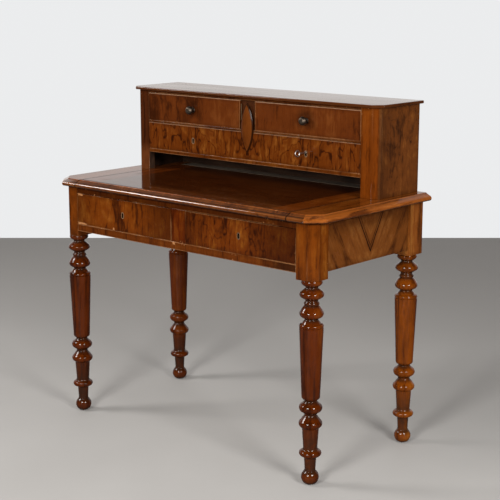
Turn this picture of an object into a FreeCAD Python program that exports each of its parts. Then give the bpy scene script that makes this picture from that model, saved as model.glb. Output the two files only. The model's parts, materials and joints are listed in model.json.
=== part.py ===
"""Walnut writing desk on turned legs, with a low drawer cabinet on the back of its top.

Frame: origin on the floor under the middle of the desk top, X to the right, Y to the back, Z up.
The middle of the top is a writing panel that slides forward between two fixed ends.
"""
import FreeCAD
import Part
import Sketcher
import os

from FreeCAD import Placement, Rotation, Vector

DIMENSIONS = {
    # desk top, nose to nose of its moulding
    "top_width": 1076, "top_depth": 540, "top_height": 774, "top_thick": 24, "top_cant": 47,
    "front_overhang": 23, "side_overhang": 27, "back_overhang": 4,
    # edge moulding: a narrow flat and step at the top, a slope, a round nose, an undercut
    "mould_width": 30, "mould_flat": 11, "mould_step": 1.6, "mould_slope": 15, "nose_height": 15,
    "nose_foot": 1.5, "nose_tuck": 12,
    # writing panel and the groove that guides it
    "end_width": 108, "back_strip_depth": 64.5, "slide_gap": 0.5, "slide_lift": 0.3,
    "slide_travel": 215, "tongue_height": 6, "tongue_reach": 7,
    "stop_width": 40, "stop_length": 30, "stop_height": 12, "stop_x": 200,
    # corner blocks and rails of the stand
    "block_size": 63, "block_cant": 24, "block_height": 160,
    "frieze_height": 142, "rail_setback": 1, "rail_depth": 40, "bottom_rail_height": 23,
    "top_rail_height": 20, "stile_width": 57,
    "side_rail_thick": 20, "side_rail_setback": 8, "back_rail_thick": 20, "back_rail_setback": 8,
    "tenon_length": 16, "tenon_thick": 10, "tenon_shoulder": 20, "rail_shoulder": 4, "stub_tenon": 8,
    "joint_gap": 0.1,
    "runner_width": 22, "runner_height": 20, "guide_height": 14,
    # turned legs: the upper turnings hang from the block, the lower ones stand on the foot
    "dowel_dia": 26, "dowel_length": 16,
    "collar_dia": 59, "seat_dia": 53, "collar_height": 18, "neck_dia": 39, "neck_height": 7, "neck_hollow": 4,
    "ring_dia": 68, "ring_height": 30, "bead_dia": 43, "bead_height": 10,
    "vase_dia": 67, "vase_foot_dia": 42, "vase_height": 36, "shoulder_height": 16, "shoulder_fall": 10,
    "shaft_dia": 68, "shaft_foot_dia": 52, "shaft_foot_ease": 4, "shaft_round": 9,
    "low_ring_dia": 65, "low_ring_height": 34, "bell_dia": 66, "bell_height": 33, "bell_lip_dia": 51,
    "low_shaft_dia": 48, "low_shaft_foot_dia": 40, "low_shaft_height": 62,
    "ankle_ring_dia": 63, "ankle_ring_height": 28, "ankle_dia": 34, "ankle_height": 36,
    "ankle_pinch": 3, "foot_dia": 50, "foot_height": 42, "foot_pad_dia": 20,
    # cabinet, counted up from the desk top: its openings share the height that its boards leave
    "cabinet_height": 270, "cabinet_inset": 48, "cabinet_depth": 208, "cabinet_back_inset": 4,
    "post_width": 57, "post_depth": 24, "post_cant": 18, "cabinet_wall": 18, "cabinet_back_thick": 12,
    "recess_height": 58, "long_height": 87, "small_height": 90, "bottom_board_thick": 12, "divider_thick": 6,
    "crown_rail_height": 8, "crown_thick": 9, "crown_overhang": 14, "crown_round": 3,
    "centre_post_half": 30.5, "centre_post_setback": 6, "centre_post_depth": 20,
    # drawers
    "drawer_gap": 1, "drawer_lift": 0.4, "front_thick": 20, "lap": 13, "drawer_wall": 10,
    "drawer_floor": 6, "floor_rise": 5, "floor_groove": 5, "wall_drop": 12,
    "frieze_drawer_room": 65, "cabinet_drawer_room": 14,
    # locks, keyholes, key
    "lock_width": 56, "lock_foot_room": 29, "lock_depth": 11, "lock_plate": 1.5, "lock_fit": 0.2,
    "key_rise": 16, "bolt_width": 24, "bolt_thick": 5, "bolt_key_room": 15, "bolt_throw": 5,
    "bolt_gap": 0.4,
    "keyhole_width": 6.4, "keyhole_height": 15, "escutcheon_rim": 2.6,
    "key_stem_dia": 5, "key_reach": 28, "key_bow_dia": 22, "key_bow_wire": 3.6, "key_bit_radius": 7.5,
    "key_bit_length": 5, "key_bit_thick": 2.4,
    # ornament and knobs
    "lens_width": 51, "lens_depth": 9, "lens_edge": 3, "lens_foot_room": 20, "lens_head_room": 7,
    "knob_dia": 26, "knob_depth": 17, "knob_neck_dia": 11, "knob_neck": 6, "knob_rose_dia": 17,
    "knob_rose_top_dia": 15, "knob_rose": 2.5, "stud_dia": 5, "stud_gap": 0.2,
}

doc = FreeCAD.newDocument("writing_desk")
sheet = doc.addObject("Spreadsheet::Sheet", "dims")
for row, (alias, number) in enumerate(DIMENSIONS.items(), start=1):
    sheet.set(f"A{row}", alias)
    sheet.set(f"B{row}", str(number))
    sheet.setAlias(f"B{row}", alias)
doc.recompute()

NODES = []


def size(expression):
    """Number that an expression over the sheet gives."""
    found = sheet.evalExpression(expression)
    return float(getattr(found, "Value", found))


def node(piece):
    """Mark a finished piece for export."""
    NODES.append(piece)
    return piece


# Building blocks: every range is a pair of expressions over the sheet


def board(label, x, y, z):
    """Box between pairs of expressions."""
    box = doc.addObject("Part::Box", label)
    for name, axis, (low, high) in zip(("Length", "Width", "Height"), "xyz", (x, y, z)):
        box.setExpression(name, f"({high}) - ({low})")
        box.setExpression(f"Placement.Base.{axis}", low)
    return box


def grown(pair, gap="dims.joint_gap"):
    """Range widened by a clearance at both ends."""
    return f"{pair[0]} - {gap}", f"{pair[1]} + {gap}"


def sided(side, low, high):
    """Range on the right (+1) side, or its mirror image on the left (-1)."""
    if side > 0:
        return low, high
    return f"-({high})", f"-({low})"


def joined(label, pieces):
    """One solid from pieces that meet."""
    fuse = doc.addObject("Part::MultiFuse", label)
    fuse.Shapes = pieces
    fuse.Refine = True
    return fuse


def carved(label, base, tools):
    """Base less its tools."""
    cut = doc.addObject("Part::Cut", label)
    cut.Base = base
    cut.Tool = tools[0] if len(tools) == 1 else joined(label + "_waste", tools)
    return cut


def grouped(label, pieces):
    """Separate solids that share one node."""
    group = doc.addObject("Part::Compound", label)
    group.Links = pieces
    return group


def rod(label, x, z, y, radius):
    """Cylinder along Y."""
    cylinder = doc.addObject("Part::Cylinder", label)
    cylinder.Placement = Placement(Vector(), Rotation(Vector(1, 0, 0), -90))
    cylinder.setExpression("Radius", radius)
    cylinder.setExpression("Height", f"({y[1]}) - ({y[0]})")
    for axis, place in zip("xyz", (x, y[0], z)):
        cylinder.setExpression(f"Placement.Base.{axis}", place)
    return cylinder


def keyhole(label, x, z, y, width, height):
    """Round-ended upright slot along Y, whose upper round is centred on the key's stem."""
    low = f"{z} - ({height} - {width})"
    sides = (f"{x} - {width} / 2", f"{x} + {width} / 2")
    return joined(label, [rod(label + "_head", x, z, y, f"{width} / 2"),
                          rod(label + "_foot", x, low, y, f"{width} / 2"),
                          board(label + "_slot", sides, y, (low, z))])


def plane(body, role):
    """Origin plane of a body by its role."""
    return next(item for item in body.Origin.OriginFeatures if item.Role == role)


def sketch_on(body, role):
    """Empty sketch on one of the body's own origin planes."""
    sketch = body.newObject("Sketcher::SketchObject", body.Name + "_sketch")
    sketch.AttachmentSupport = [(plane(body, role), "")]
    sketch.MapMode = "FlatFace"
    return sketch


def bind(sketch, kind, geometry, vertex, expression):
    """Distance from the sketch's origin to a vertex, driven by the sheet."""
    value = size(expression)
    number = sketch.addConstraint(Sketcher.Constraint(kind, -1, 1, geometry, vertex, value))
    sketch.setExpression(f"Constraints[{number}]", expression)


def ends_from(sketch, geometry, point):
    """Both ends of a curve, the one nearer to a point first."""
    return sorted((1, 2), key=lambda end: sketch.getPoint(geometry, end).distanceToPoint(point))


def turned(label, base_dia, steps):
    """Solid of revolution on Z.

    A step is (level, dia) for a line, or (level, dia, level, dia) for an arc through the first point.
    """
    body = doc.addObject("PartDesign::Body", label)
    sketch = sketch_on(body, "XZ_Plane")
    here = Vector(size(base_dia) / 2, 0, 0)
    last = sketch.addGeometry(Part.LineSegment(Vector(), here))
    sketch.addConstraint(Sketcher.Constraint("Coincident", last, 1, -1, 1))
    sketch.addConstraint(Sketcher.Constraint("PointOnObject", last, 2, -1))
    bind(sketch, "DistanceX", last, 2, f"({base_dia}) / 2")
    tail = (last, 2)
    for step in steps:
        level, dia = step[-2:]
        there = Vector(size(dia) / 2, size(level), 0)
        if len(step) == 2:
            curve = sketch.addGeometry(Part.LineSegment(here, there))
        else:
            crest = Vector(size(step[1]) / 2, size(step[0]), 0)
            curve = sketch.addGeometry(Part.Arc(here, crest, there))
            peak = sketch.addGeometry(Part.Point(crest), True)
            bind(sketch, "DistanceX", peak, 1, f"({step[1]}) / 2")
            bind(sketch, "DistanceY", peak, 1, step[0])
            sketch.addConstraint(Sketcher.Constraint("PointOnObject", peak, 1, curve))
        start, finish = ends_from(sketch, curve, here)
        sketch.addConstraint(Sketcher.Constraint("Coincident", *tail, curve, start))
        bind(sketch, "DistanceX", curve, finish, f"({dia}) / 2")
        bind(sketch, "DistanceY", curve, finish, level)
        here, tail = there, (curve, finish)
    top = Vector(0, here.y, 0)
    lid = sketch.addGeometry(Part.LineSegment(here, top))
    sketch.addConstraint(Sketcher.Constraint("Coincident", *tail, lid, 1))
    sketch.addConstraint(Sketcher.Constraint("Horizontal", lid))
    sketch.addConstraint(Sketcher.Constraint("PointOnObject", lid, 2, -2))
    core = sketch.addGeometry(Part.LineSegment(top, Vector()))
    sketch.addConstraint(Sketcher.Constraint("Coincident", lid, 2, core, 1))
    sketch.addConstraint(Sketcher.Constraint("Coincident", core, 2, -1, 1))
    spin = body.newObject("PartDesign::Revolution", label + "_turning")
    spin.Profile = sketch
    spin.ReferenceAxis = (sketch, ["V_Axis"])
    spin.Angle = 360
    return body


def canted(label, x, y, z, corners, cant):
    """Board with chosen upright corners, given as (right, back) flags, cut off at 45 degrees."""
    body = doc.addObject("PartDesign::Body", label)
    sketch = sketch_on(body, "XY_Plane")
    length, width = f"({x[1]}) - ({x[0]})", f"({y[1]}) - ({y[0]})"
    far = Vector(size(length), size(width), 0)
    ring = [Vector(), Vector(far.x, 0, 0), far, Vector(0, far.y, 0)]
    sides = [sketch.addGeometry(Part.LineSegment(ring[i], ring[(i + 1) % 4])) for i in range(4)]
    for i, side in enumerate(sides):
        sketch.addConstraint(Sketcher.Constraint("Coincident", side, 2, sides[(i + 1) % 4], 1))
        sketch.addConstraint(Sketcher.Constraint("Vertical" if i % 2 else "Horizontal", side))
    sketch.addConstraint(Sketcher.Constraint("Coincident", sides[0], 1, -1, 1))
    bind(sketch, "DistanceX", sides[1], 2, length)
    bind(sketch, "DistanceY", sides[1], 2, width)
    pad = body.newObject("PartDesign::Pad", label + "_pad")
    pad.Profile = sketch
    pad.setExpression("Length", f"({z[1]}) - ({z[0]})")
    doc.recompute()
    wanted = [Vector(far.x * right, far.y * behind, 0) for right, behind in corners]
    names = []
    for number, edge in enumerate(pad.Shape.Edges, start=1):
        low, high = edge.BoundBox, edge.BoundBox
        upright = low.XLength < 1e-6 and high.YLength < 1e-6
        if upright and any(Vector(low.XMin, low.YMin, 0).isEqual(spot, 1e-6) for spot in wanted):
            names.append(f"Edge{number}")
    bevel = body.newObject("PartDesign::Chamfer", label + "_cant")
    bevel.Base = (pad, names)
    bevel.setExpression("Size", cant)
    body.Tip = bevel
    for axis, (low, high) in zip("xyz", (x, y, z)):
        body.setExpression(f"Placement.Base.{axis}", low)
    return body


# Places shared by the pieces

half_top = "(dims.top_width / 2)"
front = "(-dims.top_depth / 2)"
back = "(dims.top_depth / 2)"
under = "(dims.top_height - dims.top_thick)"
block_bottom = f"({under} - dims.block_height)"
rail_bottom = f"({under} - dims.frieze_height)"
block_out = f"({half_top} - dims.side_overhang)"
block_in = f"({block_out} - dims.block_size)"
frieze_face = f"({front} + dims.front_overhang)"
front_block_back = f"({frieze_face} + dims.block_size)"
back_block_back = f"({back} - dims.back_overhang)"
back_block_front = f"({back_block_back} - dims.block_size)"
rail_face = f"({frieze_face} + dims.rail_setback)"
rail_back = f"({rail_face} + dims.rail_depth)"
frieze_floor = f"({rail_bottom} + dims.bottom_rail_height)"
frieze_ceiling = f"({under} - dims.top_rail_height)"
side_face = f"({block_out} - dims.side_rail_setback)"
side_in = f"({side_face} - dims.side_rail_thick)"
back_face = f"({back_block_back} - dims.back_rail_setback)"
back_in = f"({back_face} - dims.back_rail_thick)"
stile = "(dims.stile_width / 2)"
top_seam = f"({half_top} - dims.end_width)"
slide_half = f"({top_seam} - dims.slide_gap)"
strip_front = f"({back} - dims.back_strip_depth)"
slide_back = f"({strip_front} - dims.slide_gap)"
cabinet_out = f"({half_top} - dims.cabinet_inset)"
cabinet_back = f"({back} - dims.cabinet_back_inset)"
cabinet_face = f"({cabinet_back} - dims.cabinet_depth)"
panel_front = f"({cabinet_back} - dims.cabinet_back_thick)"
post_in = f"({cabinet_out} - dims.post_width)"
wall_in = f"({cabinet_out} - dims.cabinet_wall)"
post_back = f"({cabinet_face} + dims.post_depth)"
cabinet_rail_face = f"({cabinet_face} + dims.rail_setback)"
cabinet_boards = "(dims.bottom_board_thick + dims.divider_thick + dims.crown_rail_height + dims.crown_thick)"
cabinet_openings = "(dims.recess_height + dims.long_height + dims.small_height)"
height_share = f"((dims.cabinet_height - {cabinet_boards}) / {cabinet_openings})"
long_opening = f"(dims.long_height * {height_share})"
recess_top = f"(dims.top_height + dims.recess_height * {height_share})"
long_floor = f"({recess_top} + dims.bottom_board_thick)"
long_ceiling = f"({long_floor} + {long_opening})"
small_floor = f"({long_ceiling} + dims.divider_thick)"
crown_top = "(dims.top_height + dims.cabinet_height)"
crown_under = f"({crown_top} - dims.crown_thick)"
small_ceiling = f"({crown_under} - dims.crown_rail_height)"
lock_height = f"({long_opening} - dims.lock_foot_room)"
lock_backset = f"({lock_height} - dims.key_rise)"
centre_post_x = ("-dims.centre_post_half", "dims.centre_post_half")
centre_post_y = (f"({cabinet_rail_face} + dims.centre_post_setback)",
                 f"({cabinet_rail_face} + dims.centre_post_setback + dims.centre_post_depth)")

# Stand: mortised corner blocks, tenoned rails, turned legs on dowels

rail_tenon_y = (f"{rail_face} + dims.rail_depth / 2 - dims.tenon_thick / 2",
                f"{rail_face} + dims.rail_depth / 2 + dims.tenon_thick / 2")
rail_tenon_x = (block_in, f"{block_in} + dims.tenon_length")
top_tenon_z = (f"{frieze_ceiling} + dims.rail_shoulder", f"{under} - dims.rail_shoulder")
low_tenon_z = (f"{rail_bottom} + dims.rail_shoulder", f"{frieze_floor} - dims.rail_shoulder")
wide_tenon_z = (f"{rail_bottom} + dims.tenon_shoulder", f"{under} - dims.tenon_shoulder")
side_tenon_x = (f"{side_in} + dims.side_rail_thick / 2 - dims.tenon_thick / 2",
                f"{side_in} + dims.side_rail_thick / 2 + dims.tenon_thick / 2")
side_front_tenon_y = (f"{front_block_back} - dims.tenon_length", front_block_back)
side_back_tenon_y = (back_block_front, f"{back_block_front} + dims.tenon_length")
back_tenon_y = (f"{back_in} + dims.back_rail_thick / 2 - dims.tenon_thick / 2",
                f"{back_in} + dims.back_rail_thick / 2 + dims.tenon_thick / 2")
leg_x = f"({block_out} - dims.block_size / 2)"
leg_ys = {"front": f"({frieze_face} + dims.block_size / 2)",
          "back": f"({back_block_back} - dims.block_size / 2)"}
block_ys = {"front": (frieze_face, front_block_back), "back": (back_block_front, back_block_back)}


def dowel_hole(label, x, y):
    """Blind hole for the leg's dowel in the underside of a block."""
    hole = doc.addObject("Part::Cylinder", label)
    hole.setExpression("Radius", "dims.dowel_dia / 2 + dims.joint_gap")
    hole.setExpression("Height", "dims.dowel_length + dims.joint_gap")
    for axis, place in zip("xyz", (x, y, block_bottom)):
        hole.setExpression(f"Placement.Base.{axis}", place)
    return hole


def corner_block(end, side):
    """Block at one corner, with mortises for the rails that meet there."""
    name = f"{end}_block_{'right' if side > 0 else 'left'}"
    x = sided(side, block_in, block_out)
    z = (block_bottom, under)
    tenon_x = grown(sided(side, *rail_tenon_x))
    if end == "front":
        blank = canted(name + "_blank", x, block_ys[end], z, [(side > 0, False)], "dims.block_cant")
        holes = [board(name + "_top_mortise", tenon_x, grown(rail_tenon_y), grown(top_tenon_z)),
                 board(name + "_low_mortise", tenon_x, grown(rail_tenon_y), grown(low_tenon_z)),
                 board(name + "_side_mortise", grown(sided(side, *side_tenon_x)),
                       grown(side_front_tenon_y), grown(wide_tenon_z))]
    else:
        blank = board(name + "_blank", x, block_ys[end], z)
        holes = [board(name + "_back_mortise", tenon_x, grown(back_tenon_y), grown(wide_tenon_z)),
                 board(name + "_side_mortise", grown(sided(side, *side_tenon_x)),
                       grown(side_back_tenon_y), grown(wide_tenon_z))]
    middle = leg_x if side > 0 else f"-{leg_x}"
    return carved(name, blank, holes + [dowel_hole(name + "_dowel_hole", middle, leg_ys[end])])


for end in ("front", "back"):
    node(grouped(f"{end}_corner_blocks", [corner_block(end, side) for side in (-1, 1)]))


def stacked(start, *heights):
    """Levels reached by adding heights, one after another, to a start."""
    levels = [start]
    for height in heights:
        levels.append(f"({levels[-1]} + ({height}))")
    return levels


def turned_leg(name, side, end):
    """Leg: ball foot, ankle, ring, lower shaft, bell, ring, tapered shaft, vase, ring, collar, dowel."""
    foot, ankle, ankle_ring, low_shaft, bell, neck_a, low_ring, neck_b, shaft_low = stacked(
        "dims.foot_height", "dims.ankle_height", "dims.ankle_ring_height", "dims.low_shaft_height",
        "dims.bell_height", "dims.neck_height", "dims.low_ring_height", "dims.neck_height",
        "dims.shaft_round")
    seat, collar, neck_c, ring, neck_d, bead, vase, neck_e, shaft_top = stacked(
        block_bottom, "-dims.collar_height", "-dims.neck_height", "-dims.ring_height",
        "-dims.neck_height", "-dims.bead_height", "-dims.vase_height", "-dims.neck_height",
        "-dims.shoulder_height")

    def middle(low, high):
        return f"(({low}) + ({high})) / 2"

    waist = "dims.neck_dia - dims.neck_hollow"
    steps = [
        ("dims.foot_height / 2", "dims.foot_dia", foot, "dims.ankle_dia - dims.ankle_pinch"),
        (ankle, "dims.ankle_dia"),
        (middle(ankle, ankle_ring), "dims.ankle_ring_dia", ankle_ring, "dims.low_shaft_foot_dia"),
        (low_shaft, "dims.low_shaft_dia"),
        (low_shaft, "dims.bell_lip_dia"),
        (f"{low_shaft} + dims.bell_height * 0.4", "dims.bell_dia", bell, "dims.neck_dia"),
        (middle(bell, neck_a), waist, neck_a, "dims.neck_dia"),
        (middle(neck_a, low_ring), "dims.low_ring_dia", low_ring, "dims.neck_dia"),
        (middle(low_ring, neck_b), waist, neck_b, "dims.neck_dia"),
        (f"{neck_b} + dims.shaft_round / 3", "dims.shaft_foot_dia - dims.shaft_foot_ease",
         shaft_low, "dims.shaft_foot_dia"),
        (shaft_top, "dims.shaft_dia"),
        (f"{shaft_top} + dims.shoulder_height * 0.7", "dims.shaft_dia - dims.shoulder_fall",
         neck_e, "dims.vase_foot_dia"),
        (middle(neck_e, vase), "dims.vase_foot_dia - dims.neck_hollow", vase, "dims.vase_foot_dia"),
        (f"{vase} + dims.vase_height * 0.4", "dims.vase_dia", bead, "dims.neck_dia"),
        (middle(bead, neck_d), "dims.bead_dia", neck_d, "dims.neck_dia"),
        (middle(neck_d, ring), waist, ring, "dims.neck_dia"),
        (middle(ring, neck_c), "dims.ring_dia", neck_c, "dims.neck_dia"),
        (middle(neck_c, collar), waist, collar, "dims.neck_dia"),
        (middle(collar, seat), "dims.collar_dia", seat, "dims.seat_dia"),
        (seat, "dims.dowel_dia"),
        (f"{seat} + dims.dowel_length", "dims.dowel_dia"),
    ]
    leg = turned(name, "dims.foot_pad_dia", steps)
    leg.setExpression("Placement.Base.x", leg_x if side > 0 else f"-{leg_x}")
    leg.setExpression("Placement.Base.y", leg_ys[end])
    return leg


for end in ("front", "back"):
    node(turned_leg(f"leg_{end}_left", -1, end))
    node(turned_leg(f"leg_{end}_right", 1, end))

stile_tenon_x = (f"-{stile} + dims.rail_shoulder", f"{stile} - dims.rail_shoulder")
stile_tenon_low = (f"{frieze_floor} - dims.stub_tenon", frieze_floor)
stile_tenon_high = (frieze_ceiling, f"{frieze_ceiling} + dims.stub_tenon")
bolt_setback = "dims.front_thick - dims.lock_depth + dims.lock_plate + dims.bolt_gap"
bolt_y = {"frieze": f"({frieze_face} + {bolt_setback})", "cabinet": f"({cabinet_face} + {bolt_setback})"}
frieze_lock_x = f"(({stile} + {block_in}) / 2)"
cabinet_lock_x = f"((dims.centre_post_half + {post_in}) / 2)"


def bolt_mortise(label, row, x, z):
    """Slot that a raised lock bolt enters."""
    half = "(dims.bolt_width / 2 + dims.bolt_gap)"
    y = grown((bolt_y[row], f"{bolt_y[row]} + dims.bolt_thick"), "dims.bolt_gap")
    return board(label, (f"{x} - {half}", f"{x} + {half}"), y, z)


def front_rail(label, z, tenon_z, holes):
    """Rail across the front, tenoned into both blocks."""
    span = board(label + "_span", (f"-{block_in}", block_in), (rail_face, rail_back), z)
    ends = [board(f"{label}_tenon_{side}", sided(side, *rail_tenon_x), rail_tenon_y, tenon_z)
            for side in (1, -1)]
    return node(carved(label, joined(label + "_blank", [span] + ends), holes))


bolt_z = (frieze_ceiling, f"{frieze_ceiling} + dims.bolt_throw + dims.bolt_gap")
front_rail("frieze_top_rail", (frieze_ceiling, under), top_tenon_z, [
    board("stile_top_mortise", grown(stile_tenon_x), grown(rail_tenon_y), grown(stile_tenon_high)),
    bolt_mortise("left_bolt_mortise", "frieze", f"-{frieze_lock_x}", bolt_z),
    bolt_mortise("right_bolt_mortise", "frieze", frieze_lock_x, bolt_z)])
front_rail("frieze_bottom_rail", (rail_bottom, frieze_floor), low_tenon_z, [
    board("stile_low_mortise", grown(stile_tenon_x), grown(rail_tenon_y), grown(stile_tenon_low))])
node(joined("frieze_centre_stile", [
    board("stile_body", (f"-{stile}", stile), (rail_face, rail_back), (frieze_floor, frieze_ceiling)),
    board("stile_tenons", stile_tenon_x, rail_tenon_y, (stile_tenon_low[0], stile_tenon_high[1]))]))

side_rails = []
for side in (-1, 1):
    label = "side_rail_right" if side > 0 else "side_rail_left"
    panel = board(label + "_panel", sided(side, side_in, side_face), (front_block_back, back_block_front),
                  (rail_bottom, under))
    tenons = board(label + "_tenons", sided(side, *side_tenon_x),
                   (side_front_tenon_y[0], side_back_tenon_y[1]), wide_tenon_z)
    side_rails.append(joined(label, [panel, tenons]))
node(grouped("side_rails", side_rails))

tenon_end = f"{block_in} + dims.tenon_length"
node(joined("back_rail", [
    board("back_rail_panel", (f"-{block_in}", block_in), (back_in, back_face), (rail_bottom, under)),
    board("back_rail_tenons", (f"-({tenon_end})", tenon_end), back_tenon_y, wide_tenon_z)]))

# Runners under the drawers, kickers over them that also carry the writing panel, guides beside them

run_y = (rail_back, back_in)
outer_run = (f"{block_in} - dims.runner_width", block_in)
middle_run = (f"-{stile} - dims.runner_width / 2", f"{stile} + dims.runner_width / 2")
low_run_z = (f"{frieze_floor} - dims.runner_height", frieze_floor)
kicker_z = (frieze_ceiling, under)
small_guide_z = (small_floor, f"{small_floor} + dims.guide_height")
long_guide_z = (long_floor, f"{long_floor} + dims.guide_height")
guides = [
    board("middle_runner", middle_run, run_y, low_run_z),
    board("middle_kicker", middle_run, run_y, kicker_z),
    board("middle_guide", (f"-{stile}", stile), run_y, (frieze_floor, f"{frieze_floor} + dims.guide_height")),
    board("small_drawer_guide", centre_post_x, (centre_post_y[1], panel_front), small_guide_z),
]
for side in (-1, 1):
    hand = "right" if side > 0 else "left"
    guides.append(board(f"{hand}_runner", sided(side, *outer_run), run_y, low_run_z))
    guides.append(board(f"{hand}_kicker", sided(side, *outer_run), run_y, kicker_z))
    for level, guide_z in (("long", long_guide_z), ("small", small_guide_z)):
        guides.append(board(f"{hand}_{level}_guide", sided(side, post_in, wall_in),
                            (post_back, panel_front), guide_z))
node(grouped("drawer_runners_and_guides", guides))

# Desk top: fixed ends with mitred moulding, fixed back strip, writing panel between them


def moulding_section(x, y):
    """Closed section of the edge moulding, standing at (x, y) and reaching toward -Y."""
    width, flat, step = size("dims.mould_width"), size("dims.mould_flat"), size("dims.mould_step")
    thick, nose, foot = size("dims.top_thick"), size("dims.nose_height"), size("dims.nose_foot")
    shelf = flat + size("dims.mould_slope")
    low = size(under)

    def at(out, level):
        return Vector(x, y - out, low + level)

    corners = [at(0, 0), at(0, thick), at(flat, thick), at(flat, thick - step), at(shelf, nose)]
    edges = [Part.LineSegment(a, b).toShape() for a, b in zip(corners, corners[1:])]
    tuck = at(width - size("dims.nose_tuck"), 0)
    edges.append(Part.Arc(corners[-1], at(width, (nose + foot) / 2), at(shelf, foot)).toShape())
    edges.append(Part.LineSegment(at(shelf, foot), tuck).toShape())
    edges.append(Part.LineSegment(tuck, corners[0]).toShape())
    return Part.Wire(edges)


def end_shape():
    """Right-hand end: a board with the moulding swept round its front, cant and side."""
    inset = size("dims.mould_width")
    edge_x, edge_y = size(half_top) - inset, size(front) + inset
    cant = size("dims.top_cant") - inset * (2 - 2 ** 0.5)
    seam, far, low = size(top_seam), size(back), size(under)
    path = [Vector(seam, edge_y, low), Vector(edge_x - cant, edge_y, low), Vector(edge_x, edge_y + cant, low),
            Vector(edge_x, far, low)]
    spine = Part.makePolygon(path)
    strip = spine.makePipeShell([moulding_section(seam, edge_y)], True, False, 1)
    slab = Part.Face(Part.makePolygon(path + [Vector(seam, far, low), path[0]]))
    slab = slab.extrude(Vector(0, 0, size("dims.top_thick")))
    return slab.fuse(strip).removeSplitter().Solids[0]


def fixed_shape(label, shape):
    """Piece with a shape worked out from the sheet's sizes."""
    piece = doc.addObject("Part::Feature", label)
    piece.Shape = shape
    piece.Placement = Placement()
    return piece


tongue_z = (f"{under} + dims.top_thick / 2 - dims.tongue_height / 2",
            f"{under} + dims.top_thick / 2 + dims.tongue_height / 2")
groove_x = (top_seam, f"{slide_half} + dims.tongue_reach + dims.slide_gap")
panel_y = (f"({front} + dims.mould_width)", slide_back)
right_end = end_shape()
for side in (-1, 1):
    label = "top_end_right" if side > 0 else "top_end_left"
    shape = right_end if side > 0 else right_end.mirror(Vector(), Vector(1, 0, 0))
    groove = board(label + "_groove", sided(side, *groove_x), (panel_y[0], strip_front),
                   grown(tongue_z, "dims.slide_lift"))
    node(carved(label, fixed_shape(label + "_moulded", shape), [groove]))
node(board("top_back_strip", (f"-{top_seam}", top_seam), (strip_front, back), (under, "dims.top_height")))

panel_z = (f"{under} + dims.slide_lift", "dims.top_height")
tongue_end = f"{slide_half} + dims.tongue_reach"
node(joined("writing_panel", [
    board("writing_panel_board", (f"-{slide_half}", slide_half), panel_y, panel_z),
    board("writing_panel_tongues", (f"-({tongue_end})", tongue_end),
          (f"{panel_y[0]} + dims.slide_travel + dims.slide_gap", panel_y[1]), tongue_z)]))
run = 2 * size(slide_half)
section = moulding_section(-run / 2, size(panel_y[0]))
strip = Part.Face(section).extrude(Vector(run, 0, 0))
node(carved("writing_panel_moulding", fixed_shape("writing_panel_moulding_strip", strip), [
    board("moulding_relief", (f"-{slide_half}", slide_half), (front, panel_y[0]),
          (under, panel_z[0]))]))
stop_y = (f"{rail_back} + dims.slide_travel + dims.slide_gap",
          f"{rail_back} + dims.slide_travel + dims.slide_gap + dims.stop_length")
stop_z = (f"{panel_z[0]} - dims.stop_height", panel_z[0])
stop_span = ("dims.stop_x", "dims.stop_x + dims.stop_width")
node(grouped("writing_panel_stops", [
    board(f"stop_{side}", sided(side, *stop_span), stop_y, stop_z) for side in (-1, 1)]))

# Cabinet on the back of the top, raised over an open recess

posts = []
walls = []
for side in (-1, 1):
    hand = "right" if side > 0 else "left"
    posts.append(canted(f"cabinet_post_{hand}", sided(side, post_in, cabinet_out),
                        (cabinet_face, post_back), ("dims.top_height", crown_under),
                        [(side > 0, False)], "dims.post_cant"))
    walls.append(board(f"cabinet_wall_{hand}", sided(side, wall_in, cabinet_out),
                       (post_back, cabinet_back), ("dims.top_height", crown_under)))
node(grouped("cabinet_corner_posts", posts))
node(grouped("cabinet_sides", walls))
node(board("cabinet_back_panel", (f"-{wall_in}", wall_in), (panel_front, cabinet_back),
           ("dims.top_height", crown_under)))


def notched_board(label, z, holes):
    """Board between the cabinet's sides, cut back round both corner posts."""
    blank = board(label + "_blank", (f"-{wall_in}", wall_in), (cabinet_rail_face, panel_front), z)
    notch_y = (cabinet_rail_face, post_back)
    notches = [board(f"{label}_notch_{side}", sided(side, post_in, wall_in), notch_y, z) for side in (1, -1)]
    return node(carved(label, blank, notches + holes))


notched_board("cabinet_bottom_board", (recess_top, long_floor), [])
notched_board("cabinet_divider_board", (long_ceiling, small_floor), [
    bolt_mortise(f"long_bolt_mortise_{side}", "cabinet", f"{side} * {cabinet_lock_x}",
                 (long_ceiling, small_floor)) for side in (1, -1)])
node(board("cabinet_centre_post", centre_post_x, centre_post_y, (small_floor, small_ceiling)))
node(board("cabinet_top_rail", (f"-{post_in}", post_in),
           (cabinet_rail_face, f"{cabinet_rail_face} + dims.rail_depth"), (small_ceiling, crown_under)))

crown_half = f"({cabinet_out} + dims.crown_overhang)"
crown = canted("cabinet_top_board", (f"-{crown_half}", crown_half),
               (f"{cabinet_face} - dims.crown_overhang", cabinet_back),
               (crown_under, crown_top), [(False, False), (True, False)],
               "dims.post_cant + dims.crown_overhang * (2 - sqrt(2))")
doc.recompute()
crown_blank = crown.Tip
rear = crown_blank.Shape.BoundBox.YMax
rim = []
for number, edge in enumerate(crown_blank.Shape.Edges, start=1):
    box = edge.BoundBox
    if box.ZLength < 1e-6 and box.YMin < rear - 1e-3:
        rim.append(f"Edge{number}")
ease = crown.newObject("PartDesign::Fillet", "cabinet_top_board_edge")
ease.Base = (crown_blank, rim)
ease.setExpression("Radius", "dims.crown_round")
crown.Tip = ease
node(crown)

# Drawers: lapped fronts, grooved sides, a floor that slides in under the back


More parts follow.
